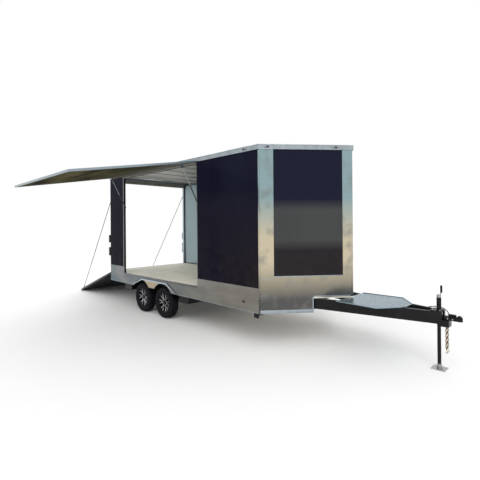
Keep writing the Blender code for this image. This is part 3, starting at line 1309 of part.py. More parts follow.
def axle(name, x):
    """A rubber-sprung axle: its tube, mounting feet, trailing arms, spindles and brake drums."""
    tube_z = TYRE_RADIUS + AXLE_TUBE_RISE
    tube_x = x + AXLE_TUBE_LEAD
    half = AXLE_HALF_HEIGHT
    foot_top = SUBFRAME_BOTTOM + WELD_DEPTH - SEAT_GAP
    tube_end = ARM_FACE - ARM_WIDTH / 2
    tube_low, tube_high = (tube_x - half, -tube_end, tube_z - half), (tube_x + half, tube_end, tube_z + half)
    pieces = [block("tube", tube_low, tube_high)]
    seat_end = WHEEL_MIDDLE + RIM_WIDTH / 4 - SPOKE_INSET - PIN_GAP
    for side in SIDES.values():
        reach_x = (x - ARM_HALF_HEIGHT, tube_x + half - WELD_DEPTH)
        low_y, high_y = sorted((side * (ARM_FACE - ARM_WIDTH), side * ARM_FACE))
        frame = axes((0, 0, 0), (1, 0, 0), (0, 0, 1))
        outline = [
            (reach_x[0], TYRE_RADIUS - ARM_HALF_HEIGHT),
            (x + ARM_HALF_HEIGHT, TYRE_RADIUS - ARM_HALF_HEIGHT),
            (reach_x[1], tube_z - ARM_HALF_HEIGHT),
            (reach_x[1], tube_z + ARM_HALF_HEIGHT),
            (reach_x[0], TYRE_RADIUS + ARM_HALF_HEIGHT),
        ]
        pieces.append(sheet("arm", outline, frame, -high_y, -low_y))
        spindle_start = (x, side * (ARM_FACE - WELD_DEPTH), TYRE_RADIUS)
        pieces.append(rod("spindle", spindle_start, (x, side * seat_end, TYRE_RADIUS), SPINDLE_RADIUS))
        drum_end = (x, side * (ARM_FACE - WELD_DEPTH + DRUM_WIDTH), TYRE_RADIUS)
        pieces.append(rod("drum", spindle_start, drum_end, DRUM_RADIUS, 24))
        foot_y = sorted((side * (RAIL_HALF_TRACK - RAIL_WIDTH), side * RAIL_HALF_TRACK - side * WELD_DEPTH))
        foot_low = (tube_x - 2 * half, foot_y[0], tube_z + half - WELD_DEPTH)
        pieces.append(block("foot", foot_low, (tube_x + 2 * half, foot_y[1], foot_top)))
    finish(fuse(name, pieces), name, "black")


def build():
    floor_deck()
    floor_frame()
    rear_sill()
    drop_beam("drop_beam_front", FRONT_BEAM_X)
    drop_beam("drop_beam_rear", REAR_BEAM_X - SUBFRAME_BEAM_LENGTH)
    for name, side in SIDES.items():
        main_rail("main_rail_" + name, side)
        stabiliser_bracket("stabiliser_bracket_" + name, side)
        stabiliser_leg("stabiliser_leg_" + name, side)
        nose_wall("nose_wall_" + name, side)
        nose_cladding("nose_cladding_" + name, side)
        skirt("skirt_" + name, side)
        safety_chain("safety_chain_" + name, side)
    walls()
    nose_cap()
    roof_edge()
    roof()
    roof_cooler()
    rear_frame()
    ramp_door()
    ramp_cables()
    side_door()
    gas_struts()
    tongue()
    tongue_platform()
    coupler()
    jack()
    wiring_lead()
    wheels()
    for name, x in zip(("axle_front", "axle_rear"), AXLE_X):
        axle(name, x)


build()
print("side door swing", round(degrees(DOOR_SWING), 3), "ramp slope", round(degrees(RAMP_SLOPE), 3))
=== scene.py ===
# %% [markdown]
# # An enclosed cargo trailer, parked with its doors open
#
# The trailer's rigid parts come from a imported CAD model, which is loaded as a fixed frame.
# This lesson dresses it: every surface gets a finish, and the small things that catch the eye are
# added as meshes, such as screws, trims, seals, lamps, tyre treads and the tread plate's bars.
# Lengths are in metres, +X points to the coupler, +Y to the street side and +Z up.

from math import cos, hypot, pi, radians, sin

import bmesh
import bpy
from mathutils import Matrix, Vector


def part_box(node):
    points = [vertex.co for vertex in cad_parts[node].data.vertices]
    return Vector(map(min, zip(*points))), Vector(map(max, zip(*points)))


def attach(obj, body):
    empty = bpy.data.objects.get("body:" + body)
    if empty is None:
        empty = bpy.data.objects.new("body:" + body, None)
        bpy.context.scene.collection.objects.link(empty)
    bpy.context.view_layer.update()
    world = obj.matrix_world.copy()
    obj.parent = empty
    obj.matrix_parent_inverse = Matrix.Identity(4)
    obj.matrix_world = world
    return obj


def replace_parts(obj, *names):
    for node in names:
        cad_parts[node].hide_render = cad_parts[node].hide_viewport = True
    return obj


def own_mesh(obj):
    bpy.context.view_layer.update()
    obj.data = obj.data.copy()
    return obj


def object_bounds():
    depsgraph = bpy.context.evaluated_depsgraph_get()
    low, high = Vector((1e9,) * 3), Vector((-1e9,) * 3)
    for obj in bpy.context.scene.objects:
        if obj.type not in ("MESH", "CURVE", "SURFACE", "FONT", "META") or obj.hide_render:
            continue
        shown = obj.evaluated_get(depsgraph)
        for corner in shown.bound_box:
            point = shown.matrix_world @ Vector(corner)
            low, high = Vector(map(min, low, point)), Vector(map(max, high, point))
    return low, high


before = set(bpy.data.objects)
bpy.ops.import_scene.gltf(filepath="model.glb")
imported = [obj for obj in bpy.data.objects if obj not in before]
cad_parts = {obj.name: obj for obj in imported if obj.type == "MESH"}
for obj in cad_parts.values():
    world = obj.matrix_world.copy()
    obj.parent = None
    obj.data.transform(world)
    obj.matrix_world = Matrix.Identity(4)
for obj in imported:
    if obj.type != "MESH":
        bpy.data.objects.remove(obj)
cad_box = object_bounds()

# %% [markdown]
# ## The camera
#
# The photograph was taken from ahead of the trailer on its curb side, a little above head height,
# with a fairly wide lens. A camera could be set by eye, but then it rarely agrees with more than one
# edge. This one was worked out from the body's straight edges, whose lengths are known. It looks
# level, so upright edges stay upright, and a small shift frames the trailer.

# %% Camera
EYE = Vector((1.6128, -5.8542, 2.1494))
HEADING = radians(135.7517)
TILT = radians(0.0753)
ROLL = radians(-0.4397)
PICTURE_SIZE = 480
FOCAL_PIXELS = 356.09
SENSOR_WIDTH = 36
PICTURE_MIDDLE = (229.746, 223.345)
FARTHEST_SEEN = 200


def camera_turn():
    """The camera's rotation from its heading, tilt and roll."""
    ahead = Vector((cos(HEADING) * cos(TILT), sin(HEADING) * cos(TILT), sin(TILT)))
    right = Vector((sin(HEADING), -cos(HEADING), 0))
    up = right.cross(ahead)
    rolled_right = right * cos(ROLL) + up * sin(ROLL)
    rolled_up = up * cos(ROLL) - right * sin(ROLL)
    return Matrix((rolled_right, rolled_up, -ahead)).transposed().to_4x4()


camera = bpy.data.objects.new("camera", bpy.data.cameras.new("camera"))
bpy.context.scene.collection.objects.link(camera)
camera.matrix_world = Matrix.Translation(EYE) @ camera_turn()
camera.data.lens = FOCAL_PIXELS / PICTURE_SIZE * SENSOR_WIDTH
camera.data.shift_x = (PICTURE_SIZE / 2 - PICTURE_MIDDLE[0]) / PICTURE_SIZE
camera.data.shift_y = (PICTURE_MIDDLE[1] - PICTURE_SIZE / 2) / PICTURE_SIZE
camera.data.clip_end = FARTHEST_SEEN
bpy.context.scene.camera = camera
bpy.context.scene.view_settings.view_transform = "Standard"
print("lens", round(camera.data.lens, 2), "mm")

# %% [markdown]
# ## Shader maths as Python
#
# A finish is easier to read as arithmetic than as a web of nodes. This small class wraps one socket:
# an expression on it adds the Math nodes, and one method adds any other kind of node.

# %% A socket that can be reckoned with
class Shade:
    """One output of a shader node."""

    def __init__(self, tree, socket):
        self.tree = tree
        self.socket = socket

    def node(self, kind, settings=None, inputs=None, output=0):
        """Add a node, make its settings, then fill or link its inputs, and hand back one output."""
        made = self.tree.nodes.new(kind)
        for name, value in (settings or {}).items():
            setattr(made, name, value)
        for name, value in (inputs or {}).items():
            if isinstance(value, Shade):
                self.tree.links.new(value.socket, made.inputs[name])
            else:
                made.inputs[name].default_value = value
        return Shade(self.tree, made.outputs[output])

    def maths(self, operation, *values):
        """Add a Math node that works on the given values."""
        return self.node("ShaderNodeMath", {"operation": operation}, dict(enumerate(values)))

    def __add__(self, other):
        return self.maths("ADD", self, other)

    def __sub__(self, other):
        return self.maths("SUBTRACT", self, other)

    def __rsub__(self, other):
        return self.maths("SUBTRACT", other, self)

    def __mul__(self, other):
        return self.maths("MULTIPLY", self, other)

    def __abs__(self):
        return self.maths("ABSOLUTE", self)

    def __gt__(self, other):
        return self.maths("GREATER_THAN", self, other)

    def __lt__(self, other):
        return self.maths("LESS_THAN", self, other)

    __radd__ = __add__
    __rmul__ = __mul__

    def spread(self, low, high, new_low=0.0, new_high=1.0):
        """Stretch a range of values onto another, and clip what is outside it."""
        given = {0: self, 1: low, 2: high, 3: new_low, 4: new_high}
        return self.node("ShaderNodeMapRange", {"clamp": True}, given)

    def axis(self, index):
        """One of X, Y and Z of a vector."""
        return self.node("ShaderNodeSeparateXYZ", None, {0: self}, index)


print("shader maths ready")

# %% [markdown]
# ## A finish
#
# Each finish is one Principled material. Its textures are measured in the trailer's own metres,
# from Object coordinates, so a grain keeps its size on every part and moves with a door or wheel.
# What is the same all over is set on the shader's socket, and only what varies is linked.

# %% Finish class
# A Mix node has sockets for every kind of value; these are the ones for colours.
MIX_COLOURS, MIX_RESULT = (6, 7), 2


class Finish:
    """A material with one Principled shader and helpers for its textures."""

    def __init__(self, name, **fixed):
        self.material = bpy.data.materials.new(name)
        self.material.use_nodes = True
        self.tree = self.material.node_tree
        self.shader = self.tree.nodes["Principled BSDF"]
        for socket, value in fixed.items():
            self.shader.inputs[socket.replace("_", " ")].default_value = value
        coordinates = self.tree.nodes.new("ShaderNodeTexCoord")
        self.place = Shade(self.tree, coordinates.outputs["Object"])
        self.facing = Shade(self.tree, coordinates.outputs["Normal"])

    def noise(self, scale, detail=3.0, stretch=(1, 1, 1), rough=0.5):
        """Cloudy noise from 0 to 1; stretch squeezes it along an axis."""
        squeezed = self.place.node(
            "ShaderNodeVectorMath", {"operation": "MULTIPLY"}, {0: self.place, 1: stretch}
        )
        given = {"Vector": squeezed, "Scale": scale, "Detail": detail, "Roughness": rough}
        return self.place.node("ShaderNodeTexNoise", None, given)

    def mix(self, share, low, high):
        """A colour between two colours, each a Shade or three numbers."""
        given = {0: share}
        for socket, colour in zip(MIX_COLOURS, (low, high)):
            given[socket] = colour if isinstance(colour, Shade) else (*colour, 1)
        return self.place.node("ShaderNodeMix", {"data_type": "RGBA"}, given, MIX_RESULT)

    def link(self, **sockets):
        """Link what varies to the shader's sockets."""
        for name, value in sockets.items():
            self.tree.links.new(value.socket, self.shader.inputs[name.replace("_", " ")])
        return self

    def bump(self, height, depth, strength=1.0):
        """Raise the surface by a height from 0 to 1, of a depth in metres."""
        given = {"Height": height, "Distance": depth, "Strength": strength}
        return self.link(Normal=self.place.node("ShaderNodeBump", None, given))


print("finish class ready")

# %% [markdown]
# ## Painted panels
#
# The walls are near-black indigo sheet, slightly wavy, as thin sheet over a frame is. The clouding
# could be painted on an image, but then it would need unwrapping, so noise in metres does it. Very
# little specular is left, because at a flat angle a glossy wall would turn white with the sky.

# %% Indigo panel finish
INDIGO = (0.006, 0.005, 0.014)
ROAD_DUST = (0.10, 0.09, 0.085)


def gloss_panel():
    """Indigo sheet with faint waves and a little dust low down; the nose's faces take lighter painted
    reflection tones and a painted sheen band.
    """
    paint = Finish("indigo_panel", Specular_IOR_Level=0.02)
    cloud = paint.noise(1.3, 4, (1, 1, 0.4))
    height = paint.place.axis(2)
    base = paint.mix(height.spread(1.2, 2.9), (0.014, 0.011, 0.013), (0.009, 0.010, 0.022))
    base = paint.mix(cloud.spread(0.35, 0.7), base, INDIGO)
    # Painted sheen: a pale band across the nose's faces, where they catch the light.
    painted_sheen_band = height.spread(1.68, 1.86) * height.spread(2.56, 2.38)
    # Lighter copies of the indigo for faces that look forward, lighter low down: painted reflection,
    # picked by which way a face looks.
    nose_tone_and_sheen = paint.mix(height.spread(1.6, 2.6), (0.022, 0.019, 0.021), (0.012, 0.013, 0.027))
    nose_tone_and_sheen = paint.mix(painted_sheen_band * cloud.spread(0.2, 0.8, 0.7, 1.0), nose_tone_and_sheen, (0.060, 0.062, 0.061))
    base = paint.mix(paint.facing.axis(0) > 0.3, base, nose_tone_and_sheen)
    dusty = height.spread(2.2, 0.9) * paint.noise(7, 6).spread(0.45, 0.8) * 0.12
    paint.link(Base_Color=paint.mix(dusty, base, ROAD_DUST))
    paint.link(Roughness=paint.noise(22, 4).spread(0.3, 0.7, 0.10, 0.20))
    return paint.bump(paint.noise(2.2, 2, (1, 1, 0.5)), 0.004, 0.35).material


panel_finish = gloss_panel()
print("made", panel_finish.name)

# %% [markdown]
# ## Bright and satin aluminium
#
# The corner strips and the stone guard are mirror-bright sheet, which picks up smudges. The roof
# edge and the jambs are extrusions, duller and drawn lengthwise. Both could be left plain and mirror
# a real sky, but the stage is white, so painted reflections of ground and sky, by height, are put in.

# %% Aluminium finishes
def bright_metal():
    """Polished sheet aluminium: upright polishing marks, smudges, a soft oil-can wave, and painted
    reflections by height.
    """
    metal = Finish("bright_metal", Metallic=1.0)
    grain = metal.noise(260, 3, (1, 1, 0.03))
    smudge = metal.noise(5, 6)
    height = metal.place.axis(2)
    # Painted reflections by height: dark ground low down, then sand, then sky tones higher up.
    ground = metal.mix(height.spread(0.85, 1.5), (0.10, 0.098, 0.096), (0.60, 0.53, 0.38))
    tone = metal.mix(height.spread(1.9, 2.6), ground, (0.27, 0.38, 0.40))
    tone = metal.mix(smudge.spread(0.48, 0.72) * 0.6, tone, (0.22, 0.23, 0.22))
    metal.link(Base_Color=tone, Roughness=grain.spread(0.2, 0.8, 0.12, 0.22) + smudge * 0.06)
    return metal.bump(metal.noise(1.6, 2), 0.006, 0.35).material


def satin_metal(name="satin_metal", tone=(0.36, 0.41, 0.44), rough=0.34):
    """Extruded aluminium with fine draw marks along its length and dull patches."""
    metal = Finish(name, Metallic=1.0)
    marks = metal.noise(180, 3, (0.05, 1, 1))
    patch = metal.noise(9, 5)
    dull = tuple(value * 0.78 for value in tone)
    metal.link(Base_Color=metal.mix(patch.spread(0.4, 0.75), tone, dull))
    metal.link(Roughness=marks.spread(0.2, 0.8, rough - 0.06, rough + 0.08))
    return metal.bump(marks, 0.0004, 0.25).material


bright_finish = bright_metal()
satin_finish = satin_metal()
print("made", bright_finish.name, "and", satin_finish.name)

# %% [markdown]
# ## The skirt and the chassis paint
#
# The skirt is dull sheet under the panels, with a pale flare trim bent round the wheel arches. The
# flare could be a piece of its own, but it is part of the CAD skirt, so its outer face takes a paler
# tone. The steel below is sprayed black, with dust and small chips.

# %% Skirt and black paint finishes
AXLES_MIDDLE_X = -5.759
ARCH_POINT_HEIGHT = 0.795
FLARE_FACE_Y = 1.2962
BLACK_PAINT, BLACK_DUST = (0.0045, 0.0042, 0.0055), (0.09, 0.08, 0.07)


def black_paint(name="black_paint", tone=BLACK_PAINT, rough=0.30, grime=0.10):
    """Sprayed black steel with orange peel, road dust on it and small chips."""
    paint = Finish(name, Specular_IOR_Level=0.2)
    dust = paint.noise(6, 6).spread(0.5, 0.85) * grime
    chips = paint.noise(95, 2) > 0.74
    base = paint.mix(dust, tone, BLACK_DUST)
    paint.link(Base_Color=paint.mix(chips * 0.3, base, (0.10, 0.10, 0.10)))
    paint.link(Roughness=dust * 0.9 + rough)
    return paint.bump(paint.noise(420, 2), 0.0006, 0.2).material


def skirt_metal():
    """Dull sheet: bluer to the rear, sandy between the arches, with a pale flare round them."""
    sheet = Finish("skirt_metal", Metallic=1.0)
    along, out, height = (sheet.place.axis(index) for index in range(3))
    smudge = sheet.noise(4, 6, (0.4, 1, 1)).spread(0.4, 0.75)
    tone = sheet.mix(along.spread(-7.2, -3.2), (0.11, 0.145, 0.17), (0.20, 0.19, 0.165))
    tone = sheet.mix(smudge * 0.7, tone, (0.30, 0.29, 0.26))
    between = abs(along - AXLES_MIDDLE_X).spread(0.40, 0.22) * (height < ARCH_POINT_HEIGHT)
    tone = sheet.mix(between, tone, (0.42, 0.35, 0.25))
    flare = abs(out) > FLARE_FACE_Y
    sheet.link(Base_Color=sheet.mix(flare, tone, (0.50, 0.58, 0.64)))
    sheet.link(Roughness=sheet.noise(180, 3, (0.05, 1, 1)).spread(0.2, 0.8, 0.28, 0.42))
    return sheet.bump(sheet.noise(1.8, 2), 0.005, 0.3).material


skirt_finish = skirt_metal()
black_finish = black_paint()
print("made", skirt_finish.name, "and", black_finish.name)

# %% [markdown]
# ## Floor and ramp finishes
#
# The floor is plywood in four-foot sheets whose grain runs across the trailer. Boards could be cut
# as pieces, but a thin dark line in the finish is all that shows of a joint. The ramp is coated with
# grit where it is walked on, and its other face is indigo sheet. The surface's direction at rest
# tells the two apart, so one CAD part needs no second slot.

# %% Plywood and grit finishes
PLY_SHEET = 1.22
PLY_JOINT = 0.0022


def plywood():
    """Pale plywood: long grain, knots of darker colour, and a dark line at each sheet's joint."""
    wood = Finish("plywood", Specular_IOR_Level=0.3)
    grain = wood.noise(34, 5, (1, 0.06, 1), 0.6)
    blotch = wood.noise(2.4, 4)
    base = wood.mix(grain, (0.86, 0.81, 0.67), (0.97, 0.94, 0.82))
    base = wood.mix(blotch.spread(0.5, 0.75) * 0.3, base, (0.46, 0.38, 0.26))
    along = wood.place.axis(0)
    joint = along.maths("PINGPONG", along, PLY_SHEET / 2) < PLY_JOINT
    wood.link(Base_Color=wood.mix(joint, base, (0.08, 0.06, 0.04)))
    wood.link(Roughness=grain.spread(0.2, 0.8, 0.50, 0.68))
    return wood.bump(grain - joint, 0.0008, 0.4).material


def grit_black():
    """The ramp's black grit, worn a little pale, and the indigo sheet of its other face."""
    coat = Finish("grit_black", Specular_IOR_Level=0.2)
    walked = coat.facing.axis(2) > -0.5
    grit = coat.noise(620, 2)
    worn = coat.noise(4.5, 5).spread(0.45, 0.8)
    gritty = coat.mix(worn * 0.6, (0.012, 0.012, 0.013), (0.05, 0.047, 0.043))
    coat.link(Base_Color=coat.mix(walked, (0.008, 0.007, 0.015), gritty))
    coat.link(Roughness=walked * grit.spread(0.3, 0.7, 0.29, 0.59) + 0.16)
    return coat.bump(grit * walked, 0.0012, 0.6).material


plywood_finish = plywood()
grit_finish = grit_black()
print("made", plywood_finish.name, "and", grit_finish.name)

# %% [markdown]
# ## Linings and roof
#
# The walls and ceiling are lined with pale satin sheet, which is scuffed near the floor. The roof is
# one dull mill-finish sheet with rain streaks. It is a single CAD part whose lower side is the
# ceiling, so only what faces up is metal.

# %% Lining and roof finishes
def lining(name, pale, paler):
    """Lining sheet, satin, with faint ripples and scuffs near the floor."""
    sheet = Finish(name, Specular_IOR_Level=0.35)
    scuff = sheet.place.axis(2).spread(1.5, 0.9) * sheet.noise(11, 6, (1, 1, 0.5)).spread(0.5, 0.8)
    tone = sheet.mix(sheet.noise(3, 3), pale, paler)
    sheet.link(Base_Color=sheet.mix(scuff * 0.4, tone, (0.18, 0.19, 0.19)))
    sheet.link(Roughness=sheet.noise(40, 4).spread(0.3, 0.7, 0.30, 0.42))
    return sheet.bump(sheet.noise(2.5, 2), 0.004, 0.3).material


def roof_sheet():
    """Dull mill-finish sheet with rain streaks."""
    sheet = Finish("roof_sheet")
    streak = sheet.noise(9, 6, (1, 0.15, 1))
    above = sheet.facing.axis(2) > 0.2
    mill = sheet.mix(streak.spread(0.4, 0.8), (0.52, 0.54, 0.55), (0.36, 0.36, 0.35))
    sheet.link(Base_Color=sheet.mix(above, (0.43, 0.42, 0.39), mill), Metallic=above * 0.9)
    sheet.link(Roughness=streak.spread(0.2, 0.8, 0.38, 0.55))
    return sheet.bump(sheet.noise(3, 3), 0.003, 0.3).material


lining_finish = lining("wall_lining", (0.36, 0.48, 0.52), (0.42, 0.54, 0.58))
ceiling_finish = lining("ceiling_sheet", (0.24, 0.23, 0.20), (0.30, 0.29, 0.26))
roof_finish = roof_sheet()
print("made", lining_finish.name, ceiling_finish.name, "and", roof_finish.name)

# %% [markdown]
# ## Rubber and wheel finishes
#
# Tyre rubber is dull and dusty. The rims are gloss black castings, and the faces of their spokes are
# machined bright. Two materials could be set face by face, but one that tells the faces apart by
# which way they look is enough, and a slow noise paints lighter and darker sheen into the turned faces.

# %% Rubber and wheel finishes
def rubber(name="tyre_rubber", tone=(0.0055, 0.0052, 0.0085), rough=0.66, dust=0.08):
    """Dull black rubber with dust in patches and a fine grain."""
    soft = Finish(name, Specular_IOR_Level=0.10)
    cloud = soft.noise(14, 6).spread(0.45, 0.85) * dust
    soft.link(Base_Color=soft.mix(cloud, tone, (0.10, 0.09, 0.08)))
    soft.link(Roughness=soft.noise(60, 3).spread(0.3, 0.7, rough - 0.06, rough + 0.1))
    return soft.bump(soft.noise(350, 3), 0.0006, 0.35).material


def machined_alloy():
    """Black inside the spokes' pockets, bright turned metal with painted sheen where a face looks
    outward.
    """
    alloy = Finish("machined_alloy")
    outward = abs(alloy.facing.axis(1)) > 0.93
    turning = alloy.noise(500, 2)
    # Painted sheen: slow patches of light and dark on the turned faces stand for their reflections.
    painted_sheen = alloy.mix(alloy.noise(6, 2).spread(0.42, 0.60), (0.16, 0.16, 0.17), (0.60, 0.61, 0.62))
    alloy.link(Base_Color=alloy.mix(outward, (0.010, 0.010, 0.011), painted_sheen))
    alloy.link(Metallic=outward, Roughness=turning.spread(0.2, 0.8, 0.16, 0.28))
    return alloy.bump(turning, 0.0003, 0.3).material


tyre_finish = rubber()
seal_finish = rubber("seal_rubber", (0.012, 0.012, 0.012), 0.5, 0.15)
lead_finish = rubber("lead_sheath", (0.014, 0.014, 0.014), 0.4, 0.2)
cable_finish = rubber("cable_sheath", (0.010, 0.010, 0.011), 0.5, 0.1)
alloy_finish = machined_alloy()
wheel_black = black_paint("wheel_black", (0.0060, 0.0058, 0.0075), 0.22, 0.05)
print("made", tyre_finish.name, "and", alloy_finish.name)

# %% [markdown]
# ## Lenses, plastic and plated steel
#
# The marker lamps have ribbed lenses, the roof unit a pale grey moulded shroud, and small steel
# fittings are zinc plated. Plating grows in crystals, so its patches come from a Voronoi texture,
# which looks like them without any modelling.

# %% Lens, plastic and plated finishes
def lens(name, tone):
    """A moulded lamp lens with fine ribs."""
    plastic = Finish(name, Specular_IOR_Level=0.3)
    ribs = plastic.noise(160, 1, (1, 1, 0.05))
    dark = tuple(value * 0.45 for value in tone)
    plastic.link(Base_Color=plastic.mix(ribs, dark, tone))
    plastic.link(Roughness=ribs.spread(0.3, 0.7, 0.10, 0.22))
    return plastic.bump(ribs, 0.0005, 0.4).material


def moulded_plastic():
    """Pale grey moulded shroud with dust on its slopes."""
    plastic = Finish("moulded_plastic", Specular_IOR_Level=0.45)
    dust = plastic.noise(8, 6).spread(0.5, 0.85)
    plastic.link(Base_Color=plastic.mix(dust * 0.4, (0.50, 0.54, 0.56), (0.36, 0.37, 0.36)))
    plastic.link(Roughness=plastic.noise(90, 3).spread(0.3, 0.7, 0.42, 0.55))
    return plastic.bump(plastic.noise(500, 2), 0.0004, 0.3).material


def plated(name, light, dark, rough=0.36):
    """Zinc-plated steel with crystal patches and dull spots."""
    metal = Finish(name, Metallic=0.95)
    cells = metal.place.node("ShaderNodeTexVoronoi", None, {"Vector": metal.place, "Scale": 150.0})
    spot = metal.noise(40, 5).spread(0.45, 0.8)
    metal.link(Base_Color=metal.mix(spot, light, dark))
    metal.link(Roughness=cells.spread(0, 0.8, rough - 0.08, rough + 0.12))
    return metal.bump(cells, 0.0003, 0.3).material


amber_finish = lens("amber_lens", (0.045, 0.020, 0.009))
red_finish = lens("red_lens", (0.10, 0.006, 0.005))
plastic_finish = moulded_plastic()
zinc_finish = plated("zinc_plate", (0.50, 0.51, 0.50), (0.32, 0.33, 0.32))
chain_finish = plated("yellow_zinc", (0.30, 0.23, 0.13), (0.10, 0.065, 0.035), 0.42)
print("materials:", len(bpy.data.materials))

# %% [markdown]
# ## Finishes on the CAD parts
#
# Most of the CAD parts already have their true shape, so they only take a finish in their slots.
# A table of names is easier to check than a line for each part.

# %% Dress the CAD nodes
DRESSING = (
    (panel_finish, ["nose_wall_*", "wall_*"]),
    (bright_finish, ["nose_cladding_*", "nose_cap"]),
    (skirt_finish, ["skirt_*"]),
    (satin_finish, ["roof_edge", "rear_post_*"]),
    (ceiling_finish, ["rear_header", "curb_header"]),
    (black_finish, ["floor_frame", "main_rail_*", "drop_beam_*", "rear_sill", "tongue", "coupler"]),
    (black_finish, ["axle_*", "stabiliser_bracket_*", "stabiliser_leg_*"]),
    (zinc_finish, ["strut_rod_*"]),
    (grit_finish, ["ramp_door"]),
    (plywood_finish, ["floor_deck"]),
    (roof_finish, ["roof"]),
    (plastic_finish, ["roof_air_conditioner"]),
)


def nodes_like(patterns):
    """The CAD nodes whose names match, where * stands for any ending."""
    found = []
    for pattern in patterns:
        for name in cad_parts:
            if name == pattern or (pattern.endswith("*") and name.startswith(pattern[:-1])):
                found.append(name)
    return found


def wear(thing, material):
    """Put one material in every slot of an object."""
    thing.data.materials.clear()
    thing.data.materials.append(material)


def dress(material, patterns):
    """Give one finish to every CAD node that a pattern names."""
    found = nodes_like(patterns)
    for name in found:
        wear(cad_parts[name], material)
    print(material.name, "on", len(found), "CAD nodes")


for material, patterns in DRESSING:
    dress(material, patterns)

# %% [markdown]
# ## The ground
#
# A wide pale floor keeps the trailer's shadow and fades to white far off, where it meets the white
# sky. A white backdrop could do the same, but its corner would show as a line.

# %% The pale floor
FLOOR_RADIUS = 60
FADE_START, FADE_END = 7, 16


def stage_floor():
    """A disc under the trailer that turns to plain white away from it."""
    floor = Finish("pale_floor", Roughness=0.9, Specular_IOR_Level=0.1)
    floor.link(Base_Color=floor.mix(floor.noise(0.8, 3), (0.90, 0.90, 0.90), (0.93, 0.93, 0.93)))
    length = {"operation": "LENGTH"}
    away = floor.place.node("ShaderNodeVectorMath", length, {0: floor.place}, "Value")
    glow = floor.place.node("ShaderNodeEmission", None, {"Color": (1, 1, 1, 1)})
    share = away.spread(FADE_START, FADE_END)
    surface = Shade(floor.tree, floor.shader.outputs[0])
    both = floor.place.node("ShaderNodeMixShader", None, {0: share, 1: surface, 2: glow})
    output = floor.tree.nodes["Material Output"]
    floor.tree.links.new(both.socket, output.inputs["Surface"])
    work = bmesh.new()
    bmesh.ops.create_circle(work, cap_ends=True, segments=96, radius=FLOOR_RADIUS)
    mesh = bpy.data.meshes.new("floor")
    work.to_mesh(mesh)
    work.free()
    ground = bpy.data.objects.new("floor", mesh)
    bpy.context.scene.collection.objects.link(ground)
    ground.location = ((cad_box[0][0] + cad_box[1][0]) / 2, 0, 0)
    wear(ground, floor.material)


stage_floor()
print("floor of radius", FLOOR_RADIUS, "m")

# %% [markdown]
# ## Sky and sun
#
# The sky is white to the eye and in every reflection, and a little dimmer to what it lights, so the
# two can be set apart. The sun is a wide disc, so its shadows are soft. A picture of a real sky could
# light the stage too, but its surroundings would show in the bright metal.

# %% Sky and sun
SKY_LIGHT = 1.05
SUN_ENERGY = 0.9
SUN_PLACE, SUN_AIM = Vector((6, -9, 12)), Vector((-3, 0, 1))
SUN_WIDTH = radians(35)


def sky():
    """White to the eye and in reflections, and a soft grey to everything it lights."""
    world = bpy.data.worlds.new("sky")
    world.use_nodes = True
    bpy.context.scene.world = world
    tree = world.node_tree
    path = tree.nodes.new("ShaderNodeLightPath")
    seen = Shade(tree, path.outputs["Is Camera Ray"])
    seen = seen.maths("MAXIMUM", seen, Shade(tree, path.outputs["Is Glossy Ray"]))
    seen = seen.maths("MAXIMUM", seen, Shade(tree, path.outputs["Is Transmission Ray"]))
    strength = seen.spread(0, 1, SKY_LIGHT, 1.0)
    tree.links.new(strength.socket, tree.nodes["Background"].inputs["Strength"])
    tree.nodes["Background"].inputs["Color"].default_value = (1, 1, 1, 1)


def sun():
    """A wide, soft sun."""
    light = bpy.data.lights.new("sun", "SUN")
    light.energy = SUN_ENERGY
    light.angle = SUN_WIDTH
    thing = bpy.data.objects.new("sun", light)
    bpy.context.scene.collection.objects.link(thing)
    turn = (SUN_PLACE - SUN_AIM).to_track_quat("Z", "Y").to_matrix().to_4x4()
    thing.matrix_world = Matrix.Translation(SUN_PLACE) @ turn


sky()
sun()
print("sun of strength", SUN_ENERGY)

# %% [markdown]
# ## A maker for small pieces
#
# Screws, trims and treads come in hundreds. Each could be an object of its own, but then the list of
# pieces would be as long as the lesson. So each kind is one joined mesh, gathered in a batch and
# handed over with its finish and the body that it rides on. All its flat forms are boxes, plates
# and strips in a frame, and all its round ones are rings joined one to the next.

# %% Angles, places and frames
def turns(count, start=0.0):
    """The angles of a full turn in equal steps."""
    return [2 * pi * (index + start) / count for index in range(count)]


def rows(low, high, pitch):
    """Evenly spaced places between two ends."""
    count = max(1, round((high - low) / pitch))
    return [low + (high - low) * index / count for index in range(count + 1)]


def frame_of(along, up, out, origin):
    """A frame with its X, Y and Z along three directions, at a place."""
    place = Matrix((along, up, out)).transposed().to_4x4()
    place.translation = origin
    return place


def outward(place):
    """The way a frame's Z points."""
    return place.to_3x3() @ Vector((0, 0, 1))


print("four angles of a turn:", [round(angle, 2) for angle in turns(4)])

# %% Batch class
SHARP_EDGE = radians(35)
BEVEL_STEPS = 2


